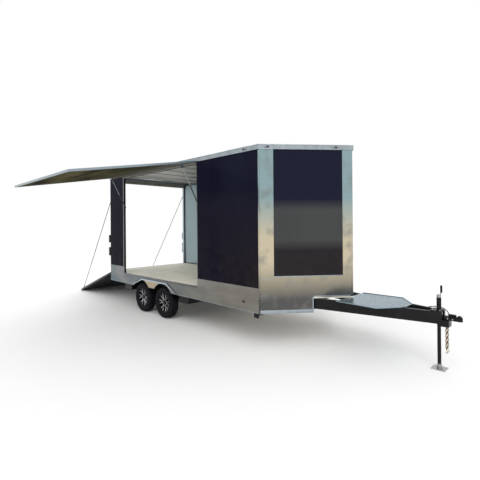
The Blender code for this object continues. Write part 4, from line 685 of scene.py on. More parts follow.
class Batch:
    """Many small solids gathered into one piece."""

    def __init__(self, name):
        self.name = name
        self.work = bmesh.new()

    def box(self, low, high, place=Matrix()):
        """A box between two corners, in a frame of its own."""
        made = bmesh.ops.create_cube(self.work, size=1)["verts"]
        size = Vector(high) - Vector(low)
        middle = (Vector(high) + Vector(low)) / 2
        shape = Matrix.Translation(middle) @ Matrix.Diagonal((*size, 1))
        bmesh.ops.transform(self.work, matrix=place @ shape, verts=made)

    def strip(self, place, along, up, out):
        """A flat strip on a frame, given as its spans along X, Y and Z."""
        self.box(*zip(along, up, out), place)

    def stud(self, foot, axis, radius, height, sides=10, top=0.7):
        """A short round head that stands on a point, narrower at its top."""
        axis = Vector(axis).normalized()
        made = bmesh.ops.create_cone(
            self.work, cap_ends=True, segments=sides, depth=height,
            radius1=radius, radius2=radius * top,
        )["verts"]
        turn = Vector((0, 0, 1)).rotation_difference(axis).to_matrix().to_4x4()
        shape = Matrix.Translation(Vector(foot) + axis * height / 2) @ turn
        bmesh.ops.transform(self.work, matrix=shape, verts=made)

    def studs(self, place, points, head):
        """The same head on each of some points of a frame, all along its Z."""
        for point in points:
            self.stud(place @ Vector(point), outward(place), *head)

    def ring(self, points, place=Matrix()):
        """Corners at some points of a frame."""
        return [self.work.verts.new(place @ Vector(point)) for point in points]

    def join(self, ring, following):
        """Faces between two rings with as many corners."""
        for index in range(len(ring)):
            after = (index + 1) % len(ring)
            self.work.faces.new((ring[index], ring[after], following[after], following[index]))

    def join_round(self, rings):
        """Join each ring to the next, and the last one to the first."""
        for ring, following in zip(rings, rings[1:] + rings[:1]):
            self.join(ring, following)

    def join_capped(self, rings):
        """Join each ring to the next, and close the two ends."""
        self.work.faces.new(rings[0][::-1])
        self.work.faces.new(rings[-1])
        for ring, following in zip(rings, rings[1:]):
            self.join(ring, following)

    def turned(self, profile, place, steps):
        """A closed profile of (radius, height) turned about Z."""
        rings = []
        for angle in turns(steps):
            points = [(radius * cos(angle), radius * sin(angle), height) for radius, height in profile]
            rings.append(self.ring(points, place))
        self.join_round(rings)

    def plate(self, outline, place, near, far):
        """A flat outline given thickness between two heights of its frame."""
        rings = [self.ring([(x, y, height) for x, y in outline], place) for height in (near, far)]
        self.join_capped(rings)

    def tube(self, points, radius, sides=8, closed=False):
        """A round tube along points, with caps unless it is closed."""
        points = [Vector(point) for point in points]
        count = len(points)
        rings = []
        side = None
        for index, point in enumerate(points):
            if closed:
                ahead = points[(index + 1) % count] - points[index - 1]
            else:
                ahead = points[min(index + 1, count - 1)] - points[max(index - 1, 0)]
            ahead.normalize()
            if side is None:
                side = ahead.orthogonal().normalized()
            side = (side - ahead * side.dot(ahead)).normalized()
            other = ahead.cross(side)
            rings.append(self.ring(
                point + (side * cos(angle) + other * sin(angle)) * radius for angle in turns(sides)
            ))
        if closed:
            self.join_round(rings)
        else:
            self.join_capped(rings)

    def piece(self, material, body, bevel=0.0):
        """Finish the batch as one object that rides on a body."""
        bmesh.ops.recalc_face_normals(self.work, faces=self.work.faces)
        mesh = bpy.data.meshes.new(self.name)
        self.work.to_mesh(mesh)
        self.work.free()
        thing = bpy.data.objects.new(self.name, mesh)
        bpy.context.scene.collection.objects.link(thing)
        if bevel:
            edge = thing.modifiers.new("edge", "BEVEL")
            edge.width = bevel
            edge.segments = BEVEL_STEPS
            edge.limit_method = "ANGLE"
            graph = bpy.context.evaluated_depsgraph_get()
            thing.data = bpy.data.meshes.new_from_object(thing.evaluated_get(graph))
            thing.data.name = self.name
            thing.modifiers.clear()
        thing.data.shade_smooth()
        thing.data.set_sharp_from_angle(angle=SHARP_EDGE)
        wear(thing, material)
        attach(thing, body)
        print(self.name, len(thing.data.polygons), "faces")
        return thing


print("batches can make boxes, strips, studs, plates and tubes")

# %% [markdown]
# ## Places on the body
#
# Everything that is added sits on the CAD parts, so its place is read from their boxes. Typing the
# numbers again would be quicker, but then a trim could end up inside a wall. The V nose's two faces
# slope back from the nose to the body's corners.

# %% Places read from the frame
SIDES = {"street": 1, "curb": -1}
CLEAR = 0.0006
SEAT = 0.0004
SHEET_WIDTH = 1.219
NOSE_DEPTH = 1.034
GUARD_TOP = 1.240
CORNER_STRIP, NOSE_STRIP = 0.250, 0.192
street_low, street_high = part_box("wall_street")
rear_x, corner_x = street_low.x, street_high.x
inner_y, half_width = street_low.y, street_high.y
wall_top = street_high.z
edge_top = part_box("roof_edge")[1].z
floor_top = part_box("floor_deck")[1].z
skirt_low, skirt_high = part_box("skirt_street")
header_low, header_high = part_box("curb_header")
opening_front, opening_rear = header_high.x, header_low.x
opening_top = header_low.z
nose_length = hypot(NOSE_DEPTH, half_width)


def nose_frame(side):
    """X runs along a nose face from the body's corner, Y up, and Z out."""
    along = Vector((NOSE_DEPTH, -side * half_width, 0)).normalized()
    out = Vector((half_width, side * NOSE_DEPTH, 0)).normalized()
    return frame_of(along, Vector((0, 0, 1)), out, Vector((corner_x, side * half_width, 0)))


def wall_frame(side):
    """X runs along the trailer, Y up, and Z out of a side wall."""
    return frame_of((1, 0, 0), (0, 0, 1), (0, side, 0), (0, side * half_width, 0))


def inner_frame(side):
    """X runs along the trailer, Y up, and Z from a side wall into the load space."""
    return frame_of((1, 0, 0), (0, 0, 1), (0, -side, 0), (0, side * inner_y, 0))


print("opening from", round(opening_rear, 3), "to", round(opening_front, 3))

# %% [markdown]
# ## The side door's and the jack's finishes
#
# The raised door shows three surfaces: indigo sheet outside, polished sheet inside, whose dark
# reflection of the ground is painted into its colour, and an aluminium edge. The CAD door is one
# part, so its normal at rest tells them apart. The jack's parts change from black paint to zinc at
# the foot and crank, which their height tells. The gas struts' cylinders are a paler paint.

# %% Finishes that change over one part
FOOT_TOP = 0.0725
CRANK_FOOT = 1.045
GRIP_START_Y = 0.104


def raised_door():
    """Indigo outside, dark polished sheet inside with a painted reflection of the ground, and pale
    metal at the edges.
    """
    skin = Finish("side_door_skin", Specular_IOR_Level=0.0)
    upward = skin.facing.axis(2)
    inside = upward < -0.7
    outside = upward > 0.7
    along, out = skin.place.axis(0), skin.place.axis(1)
    # Painted reflection on the inner sheet: streaked olive tones, lighter near the hinge and bluer at
    # the far end; it has no metal or specular of its own.
    streak = skin.noise(2.2, 6, (0.35, 1.5, 1)).spread(0.35, 0.68)
    painted_reflection = skin.mix(streak, (0.028, 0.027, 0.020), (0.125, 0.112, 0.062))
    near_hinge = out.spread(-2.3, -1.5)
    painted_reflection = skin.mix(near_hinge * 0.75, painted_reflection, (0.175, 0.165, 0.140))
    far_end = along.spread(-6.2, -7.1) * out.spread(-3.0, -3.9)
    painted_reflection = skin.mix(far_end * 0.6, painted_reflection, (0.060, 0.062, 0.070))
    edge = skin.mix(skin.noise(30, 4), (0.26, 0.32, 0.36), (0.34, 0.40, 0.43))
    base = skin.mix(outside, edge, INDIGO)
    skin.link(Base_Color=skin.mix(inside, base, painted_reflection), Metallic=1.0 - outside - inside)
    skin.link(Coat_Weight=outside * 0.25)
    skin.link(Roughness=skin.noise(24, 4).spread(0.3, 0.7, 0.14, 0.26))
    return skin.bump(skin.noise(2.0, 2), 0.006, 0.35).material


def jack_paint():
    """Black paint, with zinc plate on the foot, the crank's arm and its bearing."""
    paint = Finish("jack_paint", Specular_IOR_Level=0.2)
    height = paint.place.axis(2)
    grip = paint.place.axis(1) > GRIP_START_Y
    zinc = (height < FOOT_TOP) + (height > CRANK_FOOT) * (1.0 - grip)
    spot = paint.noise(50, 5)
    black = paint.mix(spot.spread(0.5, 0.85) * 0.1, BLACK_PAINT, BLACK_DUST)
    pale = paint.mix(spot, (0.46, 0.47, 0.46), (0.30, 0.31, 0.30))
    paint.link(Base_Color=paint.mix(zinc, black, pale), Metallic=zinc)
    paint.link(Roughness=spot.spread(0.2, 0.8, 0.28, 0.42))
    return paint.bump(paint.noise(400, 2), 0.0006, 0.2).material


door_finish, jack_finish = raised_door(), jack_paint()
dress(door_finish, ["side_door"])
dress(jack_finish, ["jack_tube", "jack_leg"])
dress(black_paint("strut_body", (0.04, 0.04, 0.043), 0.3, 0.2), ["strut_cylinder_*"])

# %% [markdown]
# ## The wiring lead
#
# A stiff rubber lead arches from the curb beam to the coupler and is held at both ends. It could be
# a mesh, but a curve keeps it a cord that can be bent later. It follows the CAD route, drawn as one
# smooth curve through the same points.

# %% Wiring lead
LEAD_RADIUS = 0.006
LEAD_ROUTE = (
    (-0.125, -0.107, 0.8533), (-0.125, -0.107, 0.875), (-0.107, -0.111, 0.905), (-0.070, -0.114, 0.920),
    (-0.020, -0.112, 0.928), (0.035, -0.102, 0.927), (0.080, -0.083, 0.912), (0.112, -0.060, 0.884),
    (0.130, -0.042, 0.850), (0.139, -0.031, 0.816), (0.139, -0.031, 0.7903),
)


def smooth_route(points, steps=3):
    """More points on the smooth curve through the given ones."""
    points = [Vector(point) for point in points]
    ends = [points[0] * 2 - points[1]] + points + [points[-1] * 2 - points[-2]]
    route = []
    for before, start, end, after in zip(ends, ends[1:], ends[2:], ends[3:]):
        for step in range(steps):
            share = step / steps
            pull = (end - before) * share + (before * 2 - start * 5 + end * 4 - after) * share ** 2
            pull += (start * 3 - before - end * 3 + after) * share ** 3
            route.append(start + pull / 2)
    return route + [points[-1]]


def sheath(route):
    """A round curve along a route."""
    line = bpy.data.curves.new("wiring_lead_line", "CURVE")
    line.dimensions = "3D"
    line.bevel_depth = LEAD_RADIUS
    line.bevel_resolution = 4
    line.use_fill_caps = True
    spline = line.splines.new("POLY")
    spline.points.add(len(route) - 1)
    for point, place in zip(spline.points, route):
        point.co = (*place, 1)
    line.materials.append(lead_finish)
    thing = bpy.data.objects.new("wiring_lead_sheath", line)
    bpy.context.scene.collection.objects.link(thing)
    return thing


lead_route = smooth_route(LEAD_ROUTE)
lead_length = sum((b - a).length for a, b in zip(lead_route, lead_route[1:]))
lead = sheath(lead_route)
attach(lead, "trailer")
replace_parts(lead, "wiring_lead")
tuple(LEAD_ROUTE[0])
print("lead", round(lead_length, 3), "m")

# %% [markdown]
# ## Screws and trims on the nose
#
# The dark nose panels are screwed to uprights 16 inches apart, and closer rows hold the corner
# strips. A folded trim finishes the guard's foot and the notch over the tongue. The screws could be
# dots in the finish, but real heads catch the light, and low cones cost little.

# %% Nose screws and trims
# A head is its radius and its height, and then, where it matters, its sides and its taper.
SCREW = (0.0055, 0.0028)
PANEL_PITCH, STRIP_PITCH, GUARD_PITCH, FOOT_PITCH = 0.137, 0.105, 0.343, 0.35
UPRIGHTS = (0.650, 1.055)
GUARD_ENDS, GUARD_HEAD_ENDS, FOOT_ENDS = (0.29, 1.32), (CORNER_STRIP - 0.003, 1.467), (0.14, 0.84)
NOTCH_END, NOTCH_TOP, NOSE_END = 0.938, 0.878, 1.600
TRIM_START = 0.012
PANEL_MARGIN, STRIP_MARGIN, FOOT_MARGIN = 0.06, 0.03, 0.09
guard_foot = skirt_low.z + 0.0005


def nose_screws(side_name, face):
    """Screws in the dark panel, and in the bright strips and the guard round it."""
    screws = Batch("nose_panel_screws_" + side_name)
    for along in UPRIGHTS:
        heights = rows(GUARD_TOP + PANEL_MARGIN, wall_top - PANEL_MARGIN, PANEL_PITCH)
        screws.studs(face, [(along, height, 0) for height in heights], SCREW)
    screws.piece(black_finish, "trailer")
    screws = Batch("nose_strip_screws_" + side_name)
    corner_heights = rows(skirt_low.z + FOOT_MARGIN, wall_top - STRIP_MARGIN, STRIP_PITCH)
    screws.studs(face, [(0.020, height, 0) for height in corner_heights], SCREW)
    nose_heights = rows(GUARD_TOP + STRIP_MARGIN, wall_top - STRIP_MARGIN, PANEL_PITCH)
    along = nose_length - NOSE_STRIP + 0.016
    screws.studs(face, [(along, height, 0) for height in nose_heights], SCREW)
    guard = [(along, GUARD_TOP - 0.05, 0) for along in rows(*GUARD_ENDS, GUARD_PITCH)]
    foot = [(along, skirt_low.z + 0.034, 0.003) for along in rows(*FOOT_ENDS, FOOT_PITCH)]
    screws.studs(face, guard + foot, SCREW)
    screws.piece(zinc_finish, "trailer")


def nose_trims(side_name, face):
    """The trims at the guard's foot, round the notch, on the guard's head and by the corner."""
    trims = Batch("nose_trims_" + side_name)
    foot, notch = guard_foot, NOTCH_END
    for along, up, thick in (
        ((TRIM_START, notch), (foot, foot + 0.060), 0.003),
        ((TRIM_START, notch), (foot, foot + 0.006), 0.008),
        ((notch - 0.020, notch), (foot, NOTCH_TOP), 0.0035),
        ((notch, NOSE_END), (NOTCH_TOP + 0.001, NOTCH_TOP + 0.024), 0.0035),
        (GUARD_HEAD_ENDS, (GUARD_TOP - 0.002, GUARD_TOP + 0.012), 0.002),
        ((TRIM_START, CORNER_STRIP), (GUARD_TOP - 0.036, GUARD_TOP - 0.028), 0.0016),
    ):
        trims.strip(face, along, up, (CLEAR, thick))
    trims.piece(satin_finish, "trailer", 0.001)


for side_name, side in SIDES.items():
    nose_screws(side_name, nose_frame(side))
    nose_trims(side_name, nose_frame(side))

# %% [markdown]
# ## Roof edge
#
# The edge is an extrusion with a rounded bead at its top and a drip lip at its foot, and it is
# screwed all the way round. The CAD edge is a plain band, so the ribs are laid on it as strips,
# which keep their shape in any light where a bump in the finish would vanish.

# %% Roof edge ribs and screws
EDGE_PROUD = 0.012
EDGE_SCREW = (0.0045, 0.0022, 8)
EDGE_SCREW_HEIGHT, EDGE_SCREW_PITCH = wall_top + 0.020, 0.152
BEAD = (edge_top - 0.013, edge_top - 0.002)
# Each rib: the heights it lies between, and how far it stands out.
EDGE_RIBS = (
    (BEAD, 0.0050),
    ((wall_top + 0.0006, wall_top + 0.008), 0.0045),
    ((wall_top + 0.030, wall_top + 0.033), 0.0016),
)
raised = Matrix.Translation((0, 0, EDGE_PROUD))
rear_face = frame_of((0, 1, 0), (0, 0, 1), (-1, 0, 0), (rear_x - EDGE_PROUD, 0, 0))


def edge_runs():
    """Each run of the roof edge: a frame on its face, and where it starts and ends."""
    for side in SIDES.values():
        yield wall_frame(side) @ raised, rear_x + 0.01, corner_x - 0.004
        yield nose_frame(side) @ raised, 0.010, nose_length - 0.06


beads = Batch("roof_edge_beads")
studs = Batch("roof_edge_screws")
for run, start, end in edge_runs():
    for heights, thick in EDGE_RIBS:
        beads.strip(run, (start, end), heights, (SEAT, thick))
    places = rows(start + 0.07, end - 0.07, EDGE_SCREW_PITCH)
    studs.studs(run, [(place, EDGE_SCREW_HEIGHT, 0) for place in places], EDGE_SCREW)
beads.strip(rear_face, (-half_width, half_width), BEAD, (SEAT, 0.0045))
beads.piece(satin_finish, "trailer", 0.0012)
studs.piece(zinc_finish, "trailer")

# %% [markdown]
# ## Marker lamps
#
# Small lamps sit on the roof edge: amber at the front and sides, red at the rear. The CAD has their
# housings, so a lens is only a plate with round ends laid over each. A rounder one sits low on each
# side, near the middle, and is small enough to be a lens alone.

# %% Marker lenses
# A lens: its length, its height, and how far its back and its front stand out.
MARKER_LENS = (0.056, 0.024, 0.0190, 0.0215)
SKIRT_LENS = (0.040, 0.0399, 0, 0.014)
SKIRT_LENS_PLACE = (-2.732, 0.775, CLEAR)
NOSE_LAMP_SHARES = (0.09, 0.811)
REAR_LAMP_PITCH = 0.150
END_STEPS = 8
lamp_height = (wall_top + edge_top) / 2


def lens_cap(batch, place, length, height, near, far):
    """A lens with round ends, between two heights over its frame."""
    half, rise = length / 2, height / 2
    steps = [pi * index / END_STEPS for index in range(END_STEPS + 1)]
    right = [(half - rise + rise * sin(angle), -rise * cos(angle)) for angle in steps]
    left = [(rise - half - rise * sin(angle), rise * cos(angle)) for angle in steps]
    batch.plate(right + left, place, near, far)


amber = Batch("marker_lenses_amber")
red = Batch("marker_lenses_red")
for side in SIDES.values():
    for x, batch in ((corner_x - 0.326, amber), (rear_x + 0.200, red)):
        base = wall_frame(side) @ Matrix.Translation((x, lamp_height, EDGE_PROUD))
        lens_cap(batch, base, *MARKER_LENS)
    for share in NOSE_LAMP_SHARES:
        base = nose_frame(side) @ Matrix.Translation((nose_length * share, lamp_height, EDGE_PROUD))
        lens_cap(amber, base, *MARKER_LENS)
for index in (-1, 0, 1):
    base = rear_face @ Matrix.Translation((index * REAR_LAMP_PITCH, lamp_height, 0))
    lens_cap(red, base, *MARKER_LENS)
for side in SIDES.values():
    lens_cap(amber, wall_frame(side) @ Matrix.Translation(SKIRT_LENS_PLACE), *SKIRT_LENS)
amber.piece(amber_finish, "trailer", 0.0008)
red.piece(red_finish, "trailer", 0.0008)

# %% [markdown]
# ## Side opening
#
# The opening's rear jamb wears a wide metal trim, the front jamb a narrow one, and a bright strip
# runs along the sill. A black bulb seal lines the reveal, where the closed door presses on it. The
# seal could be a curve, but three short tubes are simpler and stop short of one another.

# %% Jamb trims, sill strip and seals
TRIM_FACE = (SEAT, 0.0014)
SMALL_SCREW = (0.0045, 0.0016, 8)
SILL_TOP = 0.8765
SEAL_RADIUS, SEAL_INSET, SEAL_DEPTH, SEAL_FOOT = 0.0050, 0.0055, -0.012, 0.884
curb = wall_frame(-1)
skirt_top = skirt_high.z
sill_ends = (opening_rear + 0.002, opening_front - 0.002)
jambs = Batch("side_opening_trims")
for along, up, out in (
    ((opening_rear - 0.052, opening_rear - 0.001), (skirt_top + 0.002, opening_top + 0.04), TRIM_FACE),
    ((opening_front + 0.001, opening_front + 0.022), (skirt_top + 0.002, opening_top), TRIM_FACE),
    (sill_ends, (0.846, SILL_TOP), TRIM_FACE),
    (sill_ends, (SILL_TOP + 0.0007, SILL_TOP + 0.0025), (-0.045, TRIM_FACE[1])),
):
    jambs.strip(curb, along, up, out)
jamb_finish = satin_metal("jamb_metal", (0.16, 0.155, 0.15), 0.36)
jambs.piece(jamb_finish, "trailer", 0.0004)
seal = Batch("side_opening_seal")
seal_head = opening_top - 0.0058
for start, end in (
    ((opening_rear + SEAL_INSET, SEAL_FOOT), (opening_rear + SEAL_INSET, opening_top - 0.006)),
    ((opening_front - SEAL_INSET, SEAL_FOOT), (opening_front - SEAL_INSET, opening_top - 0.006)),
    ((opening_rear + 0.012, seal_head), (opening_front - 0.012, seal_head)),
):
    seal.tube([curb @ Vector((*end_point, SEAL_DEPTH)) for end_point in (start, end)], SEAL_RADIUS)
seal.piece(seal_finish, "trailer")
screws = Batch("side_jamb_screws")
heights = rows(skirt_top + 0.06, opening_top - 0.05, EDGE_SCREW_PITCH)
screws.studs(curb, [(opening_rear - 0.026, height, TRIM_FACE[1]) for height in heights], SMALL_SCREW)
screws.piece(zinc_finish, "trailer")

# %% [markdown]
# ## Linings
#
# Inside, pale sheets cover the walls between thin battens, and a dark strip finishes their foot. The
# battens hide the sheets' joints, so one long sheet on each wall looks the same as several.

# %% Wall linings and battens
# From where to where each layer stands out of the wall.
LINING = (SEAT, 0.0022)
BATTEN = (LINING[1], 0.0045)
FOOT_STRIP = (LINING[1], 0.0065)
BATTEN_HALF = 0.018
NOSE_WALL = 0.0504
INSIDE_TOP = 3.395
linings = Batch("wall_linings")
battens = Batch("lining_battens")
feet = Batch("lining_feet")


def line_wall(place, start, end):
    """A sheet, battens and a foot strip on the inner side of one wall."""
    linings.strip(place, (start, end), (floor_top + 0.002, INSIDE_TOP), LINING)
    for x in rows(start + 0.02, end - 0.02, SHEET_WIDTH):
        across = (x - BATTEN_HALF, x + BATTEN_HALF)
        battens.strip(place, across, (floor_top + 0.03, INSIDE_TOP), BATTEN)
    feet.strip(place, (start, end), (floor_top + 0.0012, floor_top + 0.028), FOOT_STRIP)


line_wall(inner_frame(SIDES["street"]), rear_x + 0.075, corner_x - 0.03)
line_wall(inner_frame(SIDES["curb"]), opening_front + 0.004, corner_x - 0.03)
line_wall(inner_frame(SIDES["curb"]), rear_x + 0.075, opening_rear - 0.004)
inward = Matrix.Translation((0, 0, -NOSE_WALL)) @ Matrix.Scale(-1, 4, (0, 0, 1))
for side in SIDES.values():
    line_wall(nose_frame(side) @ inward, 0.045, nose_length - 0.12)
batten_finish = satin_metal("batten_metal", (0.40, 0.46, 0.48), 0.36)
linings.piece(lining_finish, "trailer")
battens.piece(batten_finish, "trailer", 0.0008)
feet.piece(seal_finish, "trailer", 0.0008)

# %% [markdown]
# ## Roof bows
#
# A roof bow is a rolled hat section that runs from wall to wall under the roof sheet. It could be a
# bent sheet with a hollow, but only its web and its wide flange show from the opening, so two boxes
# are enough.

# %% Roof bows
BOW_PITCH = 0.610
# Half the width and the foot of a bow's web, and of its flange.
BOW_BOXES = ((0.024, 3.400), (0.040, 3.4072))
BOW_TOP = 3.4108
bow_reach = inner_y - 0.004
bows = Batch("roof_bows")
for x in rows(rear_x + 0.10, corner_x - 0.05, BOW_PITCH):
    for half, foot in BOW_BOXES:
        bows.box((x - half, -bow_reach, foot), (x + half, bow_reach, BOW_TOP))
bows.piece(ceiling_finish, "trailer", 0.001)

# %% [markdown]
# ## Side door, inside
#
# The door's inner sheet is held by a row of screws round its frame. They lie in the door's own
# plane, so they are placed in a frame that is turned with it. They could be placed on the closed
# door and turned after, but the door is raised at rest.

# %% Door screws
DOOR_HINGE_HEIGHT, DOOR_FOOT = 3.398, 0.845
DOOR_HINGE_PROUD, DOOR_GAP = 0.008, 0.005
DOOR_SWING = radians(80.3)
DOOR_SCREW_PITCH = 0.203
door_reach = DOOR_HINGE_HEIGHT - DOOR_FOOT
hinge_line = Matrix.Translation((0, -half_width - DOOR_HINGE_PROUD, DOOR_HINGE_HEIGHT))
raised_frame = hinge_line @ Matrix.Rotation(-DOOR_SWING, 4, "X")
door_inner = raised_frame @ frame_of(
    (1, 0, 0), (0, 0, -1), (0, 1, 0), (0, DOOR_HINGE_PROUD - DOOR_GAP, 0),
)
screws = Batch("side_door_screws")
for x in rows(opening_rear + 0.005, opening_front - 0.005, DOOR_SCREW_PITCH):
    screws.studs(door_inner, [(x, 0.050, 0), (x, door_reach - 0.030, 0)], SMALL_SCREW)
for depth in rows(0.15, door_reach - 0.12, DOOR_SCREW_PITCH):
    ends = (opening_rear + 0.010, opening_front - 0.010)
    screws.studs(door_inner, [(x, depth, 0) for x in ends], SMALL_SCREW)
screws.piece(zinc_finish, "side_door")

# %% [markdown]
# ## Corner returns, skirt lips and seams
#
# The nose's corner strips fold a little way round onto the side walls, where a close row of screws
# holds them. A tube down the corner gives the fold its round edge, because a sharp one would show
# as a hard line. The skirt's foot is folded into a lip before and behind the wheel arches, and the
# street wall's sheets meet under slim cover strips.

# %% Corner returns, skirt lips and seams
RETURN_THICK = 0.0016
RETURN_SCREW = (0.0050, 0.0026)
FOLD_RADIUS, FOLD_SIDES = 0.0080, 12
ARCHES_REAR, ARCHES_FRONT = -6.632, -4.730
SEAM_HALF = 0.012


def corner_return(side_name, side):
    """A strip on the side wall, its rounded fold, and its screws."""
    wall = wall_frame(side)
    corner = Batch("corner_return_" + side_name)
    heights = (skirt_low.z + 0.004, wall_top - 0.002)
    corner.strip(wall, (corner_x - 0.020, corner_x - 0.0005), heights, (CLEAR, RETURN_THICK))
    fold = (corner_x + 0.0025, side * (half_width - 0.0015))
    ends = [(*fold, height) for height in (skirt_low.z + 0.006, wall_top - 0.003)]
    corner.tube(ends, FOLD_RADIUS, FOLD_SIDES)
    corner.piece(bright_finish, "trailer", 0.0004)
    screws = Batch("corner_return_screws_" + side_name)
    places = rows(skirt_low.z + 0.05, wall_top - STRIP_MARGIN, STRIP_PITCH)
    screws.studs(wall, [(corner_x - 0.011, height, RETURN_THICK) for height in places], RETURN_SCREW)
    screws.piece(zinc_finish, "trailer")


def skirt_lip(side_name, side):
    """The folded foot of the skirt, before and behind the wheel arches."""
    lip = Batch("skirt_foot_lip_" + side_name)
    for ends in ((rear_x + 0.01, ARCHES_REAR), (ARCHES_FRONT, corner_x - 0.022)):
        heights = (skirt_low.z + 0.0005, skirt_low.z + 0.010)
        lip.strip(wall_frame(side), ends, heights, (CLEAR, 0.0030))
    lip.piece(satin_finish, "trailer", 0.0005)


for side_name, side in SIDES.items():
    corner_return(side_name, side)
    skirt_lip(side_name, side)
seams = Batch("street_wall_seams")
for x in rows(corner_x - SHEET_WIDTH, rear_x + SHEET_WIDTH / 2, SHEET_WIDTH):
    heights = (skirt_high.z + 0.001, wall_top - 0.001)
    seams.strip(wall_frame(1), (x - SEAM_HALF, x + SEAM_HALF), heights, (CLEAR, 0.0016))
seams.piece(panel_finish, "trailer", 0.0005)

# %% [markdown]
# ## Wheels
#
# A trailer tyre has a rounded shoulder, four grooves and short cuts across its shoulders. An image
# of tread would be lighter, but its outline would stay smooth, so the tyre is one profile turned
# round the axle, with some of its corners pushed in. The rim is an alloy casting: a barrel with a
# rolled lip and six pairs of spokes that leave the hub together and part towards the rim.

# %% Tyre and rim shapes
TYRE_HALF_PROFILE = (
    (0.2058, 0.0870), (0.2100, 0.0905), (0.2220, 0.0975), (0.2450, 0.1030), (0.2680, 0.1048),
    (0.2900, 0.1045), (0.2990, 0.1043), (0.3005, 0.1022), (0.3120, 0.1006), (0.3260, 0.0955),
    (0.3350, 0.0900), (0.3415, 0.0845), (0.3460, 0.0780), (0.3480, 0.0700), (0.3490, 0.0560),
    (0.3420, 0.0545), (0.3420, 0.0485), (0.3495, 0.0470), (0.3505, 0.0250), (0.3430, 0.0235),
    (0.3430, 0.0165), (0.3509, 0.0150), (0.3512, 0.0000),
)
SHOULDER_POINTS = range(11, 15)
TREAD_STEPS, CUT_EVERY, CUT_DEPTH = 132, 4, 0.0045
BARREL_PROFILE = (
    (0.2046, 0.0800), (0.2050, 0.0868), (0.2010, 0.0874), (0.1972, 0.0862), (0.1955, 0.0800),
    (0.1935, 0.0640), (0.1900, 0.0560), (0.1890, 0.0000), (0.1900, -0.0800), (0.2046, -0.0868),
)
HUB_PROFILE = (
    (0.0001, 0.0000), (0.0850, 0.0000), (0.0860, 0.0400), (0.0800, 0.0460), (0.0580, 0.0475),
    (0.0480, 0.0540), (0.0330, 0.0560), (0.0305, 0.0600), (0.0300, 0.0755), (0.0270, 0.0790),
    (0.0001, 0.0795),
)
BARREL_STEPS, HUB_STEPS = 72, 48
# Each section of a spoke: its radius, its lean in degrees, half its width and its top.
SPOKE_SECTIONS = (
    (0.046, 3.0, 0.0105, 0.0610), (0.080, 5.5, 0.0095, 0.0640), (0.115, 8.5, 0.0088, 0.0630),
    (0.155, 11.5, 0.0090, 0.0650), (0.182, 12.8, 0.0105, 0.0690), (0.1965, 13.2, 0.0135, 0.0730),
)
SPOKE_DEPTH = 0.026
SPOKE_PAIRS = 6


def tyre(batch, place):
    """Turn the tyre's profile, and cut its shoulders across."""
    profile = list(TYRE_HALF_PROFILE)
    profile += [(radius, -height) for radius, height in TYRE_HALF_PROFILE[-2::-1]]
    last = len(profile) - 1
    cuts = set(SHOULDER_POINTS) | {last - index for index in SHOULDER_POINTS}
    rings = []
    for step, angle in enumerate(turns(TREAD_STEPS)):
        points = []
        for index, (radius, height) in enumerate(profile):
            if step % CUT_EVERY == 0 and index in cuts:
                radius -= CUT_DEPTH
            points.append((radius * cos(angle), radius * sin(angle), height))
        rings.append(batch.ring(points, place))
    batch.join_round(rings)


def spoke(batch, place, angle, twin):
    """One of a pair of spokes: a tapered bar that leans away from its twin."""
    rings = []
    for radius, lean, half, top in SPOKE_SECTIONS:
        turn = Matrix.Rotation(angle + twin * radians(lean), 4, "Z")
        section = ((half, top), (half + 0.0022, top - 0.0035), (half + 0.0035, top - SPOKE_DEPTH))
        points = [(radius, across, height) for across, height in section]
        points += [(radius, -across, height) for across, height in section[::-1]]
        rings.append(batch.ring(points, place @ turn))
    batch.join_capped(rings)


print("tyre of", len(TYRE_HALF_PROFILE) * 2 - 1, "points, spokes of", len(SPOKE_SECTIONS), "sections")

# %% [markdown]
# ## The four wheels
#
# Each wheel is built where its CAD tyre and rim stand, and takes their place. One wheel could be
# copied four times, but each rides on a body of its own. Six nuts hold each wheel, between the
# pairs of spokes.

# %% Build the wheels
WHEEL_MIDDLE_Y, AXLE_HEIGHT = 1.165, 0.352
NUT_CIRCLE, NUT_SEAT = 0.0699, 0.0470
NUT = (0.0105, 0.014, 6, 0.9)
NUT_CROWN = (0.0085, 0.005, 12, 0.5)


def tyre_and_rim(label, place):
    """The tyre, the barrel and the spokes of one wheel."""
    body = "wheel_" + label
    tread = Batch("tyre_tread_" + label)
    tyre(tread, place)
    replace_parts(tread.piece(tyre_finish, body), "tyre_" + label)
    cast = Batch("rim_barrel_" + label)
    cast.turned(BARREL_PROFILE, place, BARREL_STEPS)
    cast.turned(HUB_PROFILE, place, HUB_STEPS)
    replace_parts(cast.piece(wheel_black, body), "rim_" + label)
    spokes = Batch("rim_spokes_" + label)
    for angle in turns(SPOKE_PAIRS):
        for twin in (-1, 1):
            spoke(spokes, place, angle, twin)
    spokes.piece(alloy_finish, body)


def wheel_nuts(label, place):
    """Six crowned nuts round the hub."""
    nuts = Batch("wheel_nuts_" + label)
    for angle in turns(SPOKE_PAIRS, 0.5):
        across, up = NUT_CIRCLE * cos(angle), NUT_CIRCLE * sin(angle)
        nuts.studs(place, [(across, up, NUT_SEAT)], NUT)
        nuts.studs(place, [(across, up, NUT_SEAT + NUT[1])], NUT_CROWN)
    nuts.piece(zinc_finish, "wheel_" + label, 0.0008)


for axle in ("front", "rear"):
    for side_name, side in SIDES.items():
        label = axle + "_" + side_name
        low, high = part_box("tyre_" + label)
        middle = Vector(((low.x + high.x) / 2, side * WHEEL_MIDDLE_Y, AXLE_HEIGHT))
        place = Matrix.Translation(middle) @ Matrix.Rotation(-side * pi / 2, 4, "X")
        tyre_and_rim(label, place)
        wheel_nuts(label, place)

# %% [markdown]
# ## Ramp
#
# The ramp's panel is held in a folded channel, and its flap hangs on a long hinge. The hinge is a
# row of short tubes with gaps between them, because one long rod wouldn't read as a hinge.

